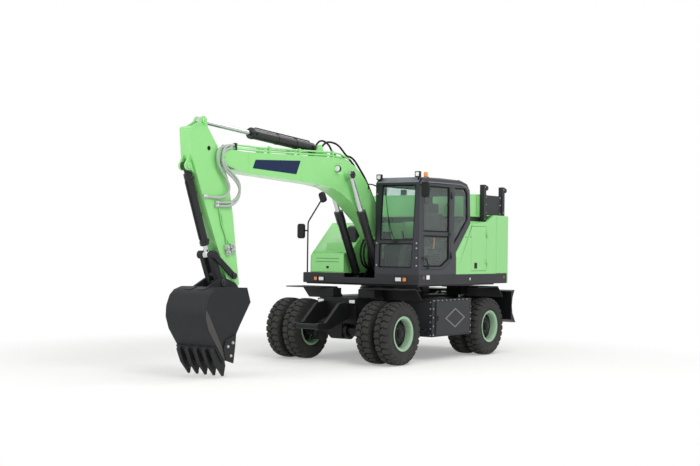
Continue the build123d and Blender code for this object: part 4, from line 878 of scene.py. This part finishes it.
# ---------- cab interior
def cushion(name, low, high, crown, channels, across):
    """A crowned seat pad with round corners and sewn channels; across is the axis that its face looks along."""
    bm = bmesh.new()
    bmesh.ops.create_cube(bm, size=2.0)
    bmesh.ops.subdivide_edges(bm, edges=bm.edges, cuts=11, use_grid_fill=True)
    middle = (Vector(low) + Vector(high)) / 2
    half = (Vector(high) - Vector(low)) / 2
    flat = [axis for axis in range(3) if axis != across]
    for vert in bm.verts:
        p = Vector(vert.co)
        u, v = p[flat[0]], p[flat[1]]
        edge = max(abs(u), abs(v))
        pull = 1 - 0.1 * (u * v) ** 2
        thick = 0.62 + crown * (1 - u * u) * (1 - v * v) - 0.22 * max(0.0, edge - 0.75) / 0.25
        for channel in channels:
            thick -= 0.07 * exp(-((v - channel) / 0.035) ** 2)
        p[flat[0]], p[flat[1]] = u * pull, v * pull
        p[across] *= thick
        vert.co = Vector((middle[i] + p[i] * half[i] for i in range(3)))
    for face in bm.faces:
        face.smooth = True
    obj = settled(name, bm)
    smooth = obj.modifiers.new("smooth", "SUBSURF")
    smooth.levels = smooth.render_levels = 1
    baked(obj)
    finish_piece(obj, "upper", CLOTH)
    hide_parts("seat")


cushion("seat_cushion", (-1.66, 0.535, 1.845), (-1.14, 1.035, 1.995), 0.38, (-0.45, 0.45), 2)
cushion("seat_back", (-1.685, 0.545, 1.985), (-1.555, 1.025, 2.6), 0.38, (-0.5, 0.1), 0)
cushion("seat_headrest", (-1.68, 0.655, 2.585), (-1.57, 0.915, 2.77), 0.3, (), 0)
base = made("seat_suspension", drawn((brick, (-1.62, 0.6, 1.556), (-1.22, 0.97, 1.62)),
    *[(brick, (-1.6 + 0.012 * (i % 2), 0.615, 1.62 + 0.044 * i), (-1.24 - 0.012 * (i % 2), 0.955,
    1.664 + 0.044 * i)) for i in range(5)]), "upper", PLASTIC, 0.008, slot="cab_trim")
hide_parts("seat")
for tag, side in (("right", -1), ("left", 1)):
    y = CAB_MID + side * 0.315
    made(f"armrest_{tag}", drawn((slab, [(-1.64, 1.7), (-1.64, 2.06), (-1.56, 2.11), (-1.18, 2.09),
        (-1.12, 2.03), (-1.18, 1.96), (-1.42, 1.93), (-1.48, 1.7)], y - 0.055, y + 0.055)), "upper", TRIM,
        0.014, 3)
    tube(f"joystick_{tag}", [(-1.19, y, 2.07), (-1.18, y, 2.13), (-1.16, y, 2.215), (-1.15, y, 2.26)], 0.019,
        "upper", PLASTIC, slot="cab_trim")
made("rear_shelf", drawn((slab, [(-1.7, 1.556), (-1.7, 2.04), (-2.06, 2.48), (-2.1, 2.48), (-2.14, 2.4),
    (-1.78, 1.96), (-1.78, 1.556)], CAB_IN + 0.055, CAB_OUT - 0.055)), "upper", TRIM, 0.02)
column = made("steering_column", drawn((slab, [(-0.64, 1.556), (-0.625, 1.72), (-0.74, 2.03), (-0.8, 2.045),
    (-0.76, 1.72), (-0.77, 1.556)], CAB_MID - 0.055, CAB_MID + 0.055)), "upper", TRIM, 0.014, 3)
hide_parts("steering_console")
bm = bmesh.new()
WHEEL_AXIS = Vector((-0.2, 0, 0.98)).normalized()
WHEEL_MID = Vector((-0.755, CAB_MID, 2.066))
turned(bm, bar_ring(0.178, 0.012, 12), WHEEL_MID, WHEEL_AXIS, 48, closed=True)
plug(bm, [(0.045, -0.02), (0.045, 0.004), (0.03, 0.012)], WHEEL_MID, WHEEL_AXIS, 24)
steering = from_bmesh("steering_wheel_ring", bm, 45)
SPOKE = 0.175
spokes = [tube(f"spoke_{i}", [WHEEL_MID, WHEEL_MID + Vector((cos(a), sin(a), 0.2 * cos(a))) * SPOKE], 0.009,
    "upper", PLASTIC, bends=False) for i, a in enumerate((pi, 0.9, -0.9))]
steering = finish_piece(join("steering_wheel", [steering] + spokes), "upper", PLASTIC, slot="cab_trim")
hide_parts("steering_console")
made("monitor", drawn((slab, [(-0.56, 2.23), (-0.6, 2.25), (-0.63, 2.06), (-0.59, 2.05)], CAB_IN + 0.075,
    CAB_IN + 0.28)), "upper", PLASTIC, 0.008, slot="cab_trim")
made("cab_side_console", drawn((slab, [(-0.7, 1.56), (-0.7, 1.98), (-1.0, 2.12), (-1.68, 2.16), (-1.68, 1.56)],
    CAB_IN + 0.042, CAB_IN + 0.085)), "upper", PLASTIC, 0.014, 3, slot="cab_trim")
made("cab_floor_mat", drawn((brick, (-1.69, CAB_IN + 0.09, 1.5555), (-0.56, CAB_OUT - 0.055, 1.562))), "upper",
    SEAL, slot="cab_trim")

# ---------- lamps, reflectors and latches on the upper body
SKIRT_FACE = 1.25
BEZEL = 0.012


def front_lamp(name, x, y_low, y_high, z_low, z_high, lens, body):
    """A rectangular lamp let into a front face: bezel and lens."""
    made(f"{name}_bezel", drawn((band, oblong(y_low - BEZEL, z_low - BEZEL, y_high + BEZEL, z_high + BEZEL),
        0.014, x - 0.001, x + 0.01, "X")), body, PLASTIC, 0.002)
    made(f"{name}_lens", drawn((brick, (x - 0.001, y_low, z_low), (x + 0.007, y_high, z_high))), body, lens,
        0.003)


for name, y_low, y_high, z_low, z_high, lens in (
        ("headlamp_right", -0.88, -0.77, 1.365, 1.43, LENS),
        ("turn_lamp_right", -0.99, -0.92, 1.365, 1.43, AMBER),
        ("headlamp_left", 0.775, 0.9, 1.388, 1.455, LENS),
        ("turn_lamp_left", 0.93, 1.005, 1.388, 1.455, AMBER)):
    front_lamp(name, -0.48, y_low, y_high, z_low, z_high, lens, "upper")
for tag, side in SIDES.items():
    face = SKIRT_FACE * side
    for name, x_low, x_high, z_low, z_high, lens in (
            ("reflector_front_red", -0.665, -0.62, 1.43, 1.48, REFLECT_RED),
            ("reflector_white", -0.83, -0.73, 1.425, 1.495, REFLECT_WHITE),
            ("marker_white", -2.22, -2.19, 1.395, 1.44, REFLECT_WHITE),
            ("reflector_rear_red", -3.5, -3.45, 1.415, 1.46, REFLECT_RED)):
        made(f"{name}_{tag}", drawn((brick, (x_low, face, z_low), (x_high, face + 0.004 * side, z_high))),
            "upper", lens, 0.0015, 1)
    # recessed latch of the service door, with its lever
    bm = bmesh.new()
    y0, y1 = sorted((CAB_OUT * side, (CAB_OUT + 0.004) * side))
    band(bm, oblong(-2.47, 1.605, -2.375, 1.71), 0.01, y0, y1)
    brick(bm, (-2.462, y0, 1.613), (-2.383, y0 + (y1 - y0) * 0.3, 1.702))
    brick(bm, (-2.445, (CAB_OUT + 0.001) * side, 1.65), (-2.4, (CAB_OUT + 0.01) * side, 1.69))
    made(f"service_latch_{tag}", bm, f"service_door_{tag}", PLASTIC, 0.002)
bolts("hood_bolts", (0, 1, 0), 0.008, 0.01, [(-2.063, CAB_OUT, 2.177), (-2.23, CAB_OUT, 2.178)], "upper", BLACK)
made("toolbox_latch", drawn(*[(slab, [(-0.478, z), (-0.478, z + 0.006), (-0.484, z + 0.006), (-0.484, z)],
    -0.95, -0.44) for z in (1.7, 1.76)], (brick, (-0.486, -0.715, 1.585), (-0.474, -0.665, 1.625))),
    "toolbox_lid", PLASTIC, 0.002)
made("valve_cover", drawn((slab, [(-0.88, 2.05), (-0.88, 2.33), (-0.96, 2.36), (-1.2, 2.36), (-1.2, 2.05)],
    -0.55, -0.365)), "upper", DARK, 0.01, 3)
# rear of the counterweight: lamps and lifting eyes
for tag, side in SIDES.items():
    made(f"tail_lamp_{tag}", drawn((brick, (-3.69, side * 1.17, 1.98), (-3.64, side * 1.02, 2.06))), "upper",
        REFLECT_RED, 0.006)
made("lifting_eyes", drawn(*[(turned, bar_ring(0.04, 0.013, 10), (-3.66, y, 2.64), (0, 1, 0), 28, True)
    for y in (-0.6, 0.6)]), "upper", DARK, angle=60)
# bolts, latches and seams of the rack and its box
bolts("rack_bolts_left", (0, 1, 0), 0.009, 0.01, [(x, 1.1402, z) for x in (-2.96, -3.49)
    for z in (2.64, 2.8, 2.94)] + [(-2.868, 1.1703, z) for z in (2.52, 3.12)]
    + [(-3.58, 1.1703, z) for z in (2.66, 3.1)], "upper")
bm = bmesh.new()
for side in (1, -1):
    for x, z in ((-2.868, 3.105), (-3.58, 3.09)):
        plug(bm, [(0.046, 0), (0.046, 0.05 * side), (0.038, 0.058 * side)], (x - 0.075, 1.12 * side, z),
            (0, 1, 0), 28)
        brick(bm, (x - 0.08, 1.12 * side, z - 0.046), (x - 0.04, 1.165 * side, z + 0.02))
made("rack_lugs", bm, "upper", DARK, 0.004)
made("module_seams", drawn(*[(brick, (-2.7, 1.08 * side, 2.6), (-2.694, 1.0815 * side, 2.96))
    for side in (1, -1)], (brick, (-2.43, -0.004, 2.6), (-2.4285, 0.004, 2.96))), "upper", SEAL)


# ---------- boom
def boom_height(x):
    """Top edge of the boom at a place along it."""
    top = [(3.24, 3.42), (2.725, 3.4), (1.445, 3.44), (0.4, 3.478), (0.146, 3.45), (-0.088, 3.372),
        (-0.267, 3.27), (-0.45, 3.112), (-0.7, 2.81)]
    for (x1, z1), (x0, z0) in zip(top, top[1:]):
        if x0 <= x <= x1:
            return z0 + (z1 - z0) * (x - x0) / (x1 - x0)
    return top[-1][1]


made("boom_plates", drawn(*[(slab, [(2.52, 3.296), (1.402, 3.356), (1.509, 3.13), (2.584, 3.16)], 0.16 * side,
    0.1635 * side) for side in (1, -1)]), "boom", PLATE_BLUE, 0.0015)
bm = bmesh.new()
for x in (2.675, 1.365):
    for side in (1, -1):
        slab(bm, oblong(x - 0.006, 3.03 if x < 2 else 3.078, x + 0.006, boom_height(x) - 0.004), 0.1595 * side,
            0.1625 * side)
made("boom_weld_beads", bm, "boom", GREEN, 0.001, 1)
PIPE_RUN = [2.985, 2.4, 1.8, 1.2, 0.62, 0.3]
for name, y, lift, radius in (("a", 0.12, 0.085, 0.016), ("b", 0.128, 0.03, 0.016), ("c", -0.02, 0.06, 0.013),
        ("d", -0.11, 0.07, 0.016)):
    tube(f"boom_pipe_{name}", [(x, y, boom_height(x) + lift) for x in PIPE_RUN]
        + [(0.02, y, boom_height(0.02) + lift - 0.01)], radius, "boom", GREEN, bends=False)
for x in (2.956, 2.155, 1.399, 0.5):
    made(f"pipe_clamps_{int(x * 10)}", drawn(*[(brick, (x - 0.022, y_low, boom_height(x) - 0.01),
        (x + 0.022, y_high, boom_height(x) + tall)) for y_low, y_high, tall in ((0.096, 0.15, 0.112),
        (-0.136, -0.084, 0.095), (-0.042, 0.002, 0.08))]), "boom", DARK if x > 2.5 else GREEN, 0.005,
        slot="chassis_black")
for name, points, radius in (("hose_arm_feed_a", [(0.7, 0.055, 3.64), (0.64, 0.07, 3.72), (0.48, 0.085, 3.74),
        (0.3, 0.1, 3.7), (0.18, 0.115, 3.6), (0.11, 0.122, 3.54), (0.04, 0.128, 3.51)], 0.017),
        ("hose_arm_feed_b", [(0.74, -0.055, 3.64), (0.66, -0.06, 3.74), (0.5, -0.07, 3.77),
        (0.32, -0.085, 3.71), (0.22, -0.1, 3.61), (0.14, -0.108, 3.56), (0.04, -0.112, 3.51)], 0.017),
        ("hose_back_a", [(0.14, 0.09, 3.5), (0.02, 0.1, 3.54), (-0.14, 0.11, 3.49), (-0.3, 0.115, 3.34),
        (-0.47, 0.118, 3.18), (-0.62, 0.12, 2.98), (-0.76, 0.122, 2.78), (-0.9, 0.12, 2.56)], 0.018)):
    tube(name, points, radius, "boom", HOSE)
BACK_RUN = [(0.14, 3.5), (0, 3.53), (-0.16, 3.47), (-0.33, 3.32), (-0.5, 3.15), (-0.66, 2.93), (-0.8, 2.72),
    (-0.92, 2.53)]
for name, y in (("hose_back_b", 0.03), ("hose_back_c", -0.08)):
    tube(name, [(x, y, z) for x, z in BACK_RUN], 0.018, "boom", HOSE)
made("boom_lamp_housing", drawn((plug, [(0.03, 0), (0.052, 0.01), (0.058, 0.045), (0.058, 0.055)],
    (0.405, 0.205, 3.285), (1, 0, 0), 32), (brick, (0.4, 0.159, 3.272), (0.425, 0.19, 3.298))), "boom", PLASTIC,
    0.002)
made("boom_lamp_lens", drawn((plug, [(0.052, 0.05), (0.05, 0.058), (0.03, 0.063)], (0.405, 0.205, 3.285),
    (1, 0, 0), 32)), "boom", LENS, angle=60)


def crossing(name, points, radius, body_a, material):
    """A hose between two bodies: it rides on neither of them and stays fixed in its place."""
    obj = tube(name, points, radius, body_a, material)
    del obj["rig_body"]
    obj.parent = None
    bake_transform(obj)


HOSE_A = [(3.02, 0.15, 3.478), (3.18, 0.16, 3.47), (3.35, 0.165, 3.42), (3.42, 0.168, 3.29), (3.35, 0.17, 3.12),
    (3.2, 0.17, 2.97), (3.11, 0.168, 2.84), (3.16, 0.16, 2.71), (3.3, 0.15, 2.672), (3.45, 0.135, 2.672),
    (3.59, 0.128, 2.68)]
HOSE_B = [(3.04, 0.14, 3.43), (3.14, 0.17, 3.428), (3.28, 0.185, 3.37), (3.33, 0.19, 3.23), (3.23, 0.195, 3.07),
    (3.02, 0.195, 2.955), (2.905, 0.19, 2.83), (2.92, 0.18, 2.68), (3.04, 0.165, 2.57), (3.19, 0.145, 2.548),
    (3.34, 0.13, 2.55)]
HOSE_C = [(x - 0.01, y - 0.006, z + 0.052) for x, y, z in HOSE_B]
for name, points in (("hose_to_arm_a", HOSE_A), ("hose_to_arm_b", HOSE_B), ("hose_to_arm_c", HOSE_C)):
    crossing(name, points, 0.019, "boom", BRAID)
for i, (y, back) in enumerate(((0.105, 0), (0.05, 0.03), (-0.04, 0.01), (-0.1, 0.04))):
    crossing(f"hose_boom_foot_{i}", [(-0.96 - back, y, 1.56), (-0.82, y, 1.6), (-0.7, y * 1.1, 1.72),
        (-0.68, y * 1.15, 1.9), (-0.74, y * 1.1, 2.06), (-0.8, y, 2.13)], 0.018, "upper",
        HOSE)

# ---------- arm, bucket linkage and bucket
bm = bmesh.new()
for x, z in ((3.6, 2.68), (3.35, 2.55), (3.34, 2.602)):
    plug(bm, [(0.024, -0.03), (0.024, 0), (0.03, 0.002), (0.03, 0.026), (0.02, 0.03), (0.02, 0.052)],
        (x + 0.02, 0.129, z), (-1, 0, 0), 12)
    brick(bm, (x - 0.01, 0.114, z - 0.026), (x + 0.05, 0.132, z + 0.026))
for x, z in ((3.13, 1.93), (3.01, 1.96), (3.1, 1.85), (2.985, 1.88)):
    brick(bm, (x - 0.045, 0.114, z - 0.034), (x + 0.045, 0.152, z + 0.034))
    plug(bm, [(0.022, 0), (0.022, 0.03), (0.014, 0.04)], (x, 0.15, z), (0, 1, 0), 6)
made("arm_fittings", bm, "arm", ZINC, 0.003)
for name, points in (("arm_pipe_a", [(3.32, 0.13, 2.545), (3.24, 0.13, 2.4), (3.215, 0.13, 2.25),
        (3.15, 0.13, 2.1), (3.125, 0.13, 1.96)]), ("arm_pipe_b", [(3.33, 0.13, 2.6), (3.29, 0.13, 2.45),
        (3.26, 0.13, 2.3), (3.17, 0.13, 2.13), (3.08, 0.13, 1.99)])):
    tube(name, points, 0.01, "arm", GREEN)
# thin black disc on the arm's side: painted shade in place of the dark inside of a hole
made("arm_hole", drawn((plug, [(0.034, 0), (0.034, 0.003)], (3.529, 0.1145, 3.4), (0, 1, 0), 24)), "arm", SEAL)
for name, centre, radius, low, high, body in (
        ("boom_tip", (3.24, 0, 3.29), 0.075, 0.158, 0.178, "boom"),
        ("boom_foot", (-1.2, 0, 1.8), 0.07, 0.168, 0.172, "boom"),
        ("lift_pin", (0.14, 0, 3.2), 0.062, 0.29, 0.312, "boom"),
        ("arm_tip", (2.9, 0, 1.21), 0.062, 0.164, 0.182, "bucket"),
        ("hook_pin", (3.23, 0, 1.4), 0.055, 0.164, 0.182, "bucket"),
        ("arm_cylinder_pin", (3.6, 0, 3.8), 0.045, 0.075, 0.096, "arm"),
        ("bucket_cylinder_pin", (3.905, 0, 3.12), 0.045, 0.075, 0.096, "arm"),
        ("rocker_pin", (2.97, 0, 1.5), 0.05, 0.153, 0.172, "bucket_rockers")):
    bm = bmesh.new()
    for side in (1, -1):
        plug(bm, [(radius, low * side), (radius, (high - 0.004) * side), (radius - 0.004, high * side)], centre,
            (0, 1, 0), 36)
        plug(bm, [(0.012, high * side), (0.012, (high + 0.01) * side)], centre, (0, 1, 0), 6)
    made(f"{name}_caps", bm, body, GREEN if body in ("boom", "arm") and name != "lift_pin" else BARREL,
        angle=35, slot="chassis_black")
made("rocker_crosshead", drawn(*[(plug, [(0.05, 0.06 * side), (0.062, 0.064 * side), (0.062, 0.16 * side),
    (0.052, 0.168 * side)], (3.41, 0, 1.82), (0, 1, 0), 36) for side in (1, -1)]), "bucket_rockers", BUCKET,
    angle=35)
# raised strips along the bucket's side edges; their paler grey is a painted highlight
made("bucket_side_strips", drawn(*[(slab, [(3.852, 1.03), (3.858, 0.9), (3.791, 0.717), (3.617, 0.483),
    (3.455, 0.268), (3.4, 0.29), (3.56, 0.56), (3.78, 0.93)], 0.4005 * side, 0.408 * side)
    for side in (1, -1)]), "bucket", STRIP_HIGHLIGHT, 0.003)
made("bucket_lip_and_pads", drawn((slab, [(3.618, 0.474), (3.64, 0.462), (3.486, 0.244), (3.452, 0.232),
    (3.448, 0.258)], -0.399, 0.399), *[(slab, [(3.56, 1.3385), (3.566, 1.3475), (3.692, 1.3095),
    (3.688, 1.299)], y, y + 0.14) for y in (-0.2, 0.06)]), "bucket", BUCKET, 0.004)
for tag, side in SIDES.items():
    bolts(f"cutter_bolts_{tag}", (0, side, 0), 0.018, 0.018, [(3.33, 0.425 * side, 0.33),
        (3.395, 0.425 * side, 0.47), (3.29, 0.425 * side, 0.52)], "bucket")


def heading(start, end):
    """The direction of a cylinder's line."""
    return Vector((end[0] - start[0], 0, end[1] - start[1])).normalized()


def beside(start, end, along, off, y):
    """A point beside a cylinder's line: metres along it from its base pin, off it, and across the machine."""
    run = heading(start, end)
    return Vector((start[0], y, start[1])) + run * along + Vector((-run.z, 0, run.x)) * off


LIFT = ((-0.8, 1.42), (0.14, 3.2))
CROWD = ((0.77, 3.6), (3.6, 3.8))
TILT = ((3.905, 3.12), (3.41, 1.82))
for name, line, length, radius, off, y in (
        ("boom_cylinder_left", LIFT, 1.32, 0.072, -1, 0.245),
        ("boom_cylinder_right", LIFT, 1.32, 0.072, -1, -0.245),
        ("arm_cylinder", CROWD, 1.71, 0.082, 1, 0),
        ("bucket_cylinder", TILT, 1.235, 0.062, 1, 0)):
    body = "boom_cylinder_barrels" if line is LIFT else f"{name}_barrel"
    if line is not LIFT:
        made(f"{name}_ports", drawn(*[(plug, [(0.034, 0), (0.034, 0.024), (0.026, 0.028), (0.026, 0.046)],
            beside(*line, along, 0, radius - 0.012), (0, 1, 0), 16) for along in (0.19, length - 0.075)]), body,
            BARREL, angle=35)
    away = off * (radius + 0.018)
    tube(f"{name}_pipe", [beside(*line, 0.2, off * radius * 0.9, y), beside(*line, 0.23, away, y),
        beside(*line, length - 0.12, away, y), beside(*line, length - 0.08, off * radius * 0.9, y)], 0.011,
        body, BARREL, bends=False)
    for step in (0.35, 0.62):
        made(f"{name}_strap_{int(step * 100)}", drawn((turned, oblong(radius + 0.001, -0.022, radius + 0.006,
            0.022), beside(*line, length * step, 0, y), heading(*line), 40, True)), body, BARREL, angle=35)
    head_r = radius + (0.009 if line is LIFT else 0.01)
    made(f"{name}_gland", drawn((turned, [(head_r - 0.009, -0.06), (head_r, -0.058), (head_r, -0.01),
        (head_r - 0.006, 0), (0.046, 0.002), (0.046, -0.004)], beside(*line, length + 0.001, 0, y),
        heading(*line), 40, True)), body, BARREL, angle=35)

# ---------- chassis
BOX_FACE, BOX_FRONT, DOOR_FACE = 1.23, -0.97, 1.2537
STEP_RUN = [(-0.972, 1.15, 0.56), (-0.9, 1.15, 0.552), (-0.872, 1.138, 0.55), (-0.872, 1.1, 0.55),
    (-0.872, 0.8, 0.55), (-0.872, 0.762, 0.55), (-0.9, 0.75, 0.552), (-0.972, 0.75, 0.56)]
for tag, side in SIDES.items():
    y_low, y_high = sorted((0.27 * side, 0.39 * side))
    front_lamp(f"chassis_lamp_{tag}", 0.16, y_low, y_high, 1.01, 1.068, REFLECT_WHITE, "chassis")
for tag, side in SIDES.items():
    bolts(f"side_box_bolts_{tag}", (0, side, 0), 0.009, 0.011, [(-1.01 - 0.14 * i, BOX_FACE * side, 1.052)
        for i in range(9)] + [(-2.265, BOX_FACE * side, 0.46 + 0.115 * i) for i in range(5)]
        + [(-1.0, BOX_FACE * side, 0.46 + 0.15 * i) for i in range(4)], "chassis")
    bolts(f"side_box_front_bolts_{tag}", (1, 0, 0), 0.009, 0.011, [(BOX_FRONT, 1.19 * side, 0.45 + 0.115 * i)
        for i in range(6)] + [(BOX_FRONT, 0.62 * side, 0.45 + 0.19 * i) for i in range(4)], "chassis")
    face = DOOR_FACE * side
    # the diamond ridge's paler grey is a painted highlight
    made(f"side_box_diamond_{tag}", drawn((band, [(-1.345, 0.735), (-1.69, 0.91), (-2.035, 0.735),
        (-1.69, 0.56)], 0.026, face, face + 0.006 * side)), f"side_box_door_{tag}", RIDGE_HIGHLIGHT, 0.002)
    made(f"side_box_latch_{tag}", drawn((brick, (-1.135, face, 0.7), (-1.095, face + 0.012 * side, 0.79))),
        f"side_box_door_{tag}", PLASTIC, 0.003)
    tube(f"side_box_step_{tag}", [(x, y * side, z) for x, y, z in STEP_RUN], 0.016, "chassis", BLACK)
SLEW_X, SLEW_BOLT_R = -1.45, 0.555
bolts("slew_ring_bolts", (0, 0, 1), 0.011, 0.012, [(SLEW_X + SLEW_BOLT_R * cos(pi * i / 18),
    SLEW_BOLT_R * sin(pi * i / 18), 1.19) for i in range(36)], "chassis")
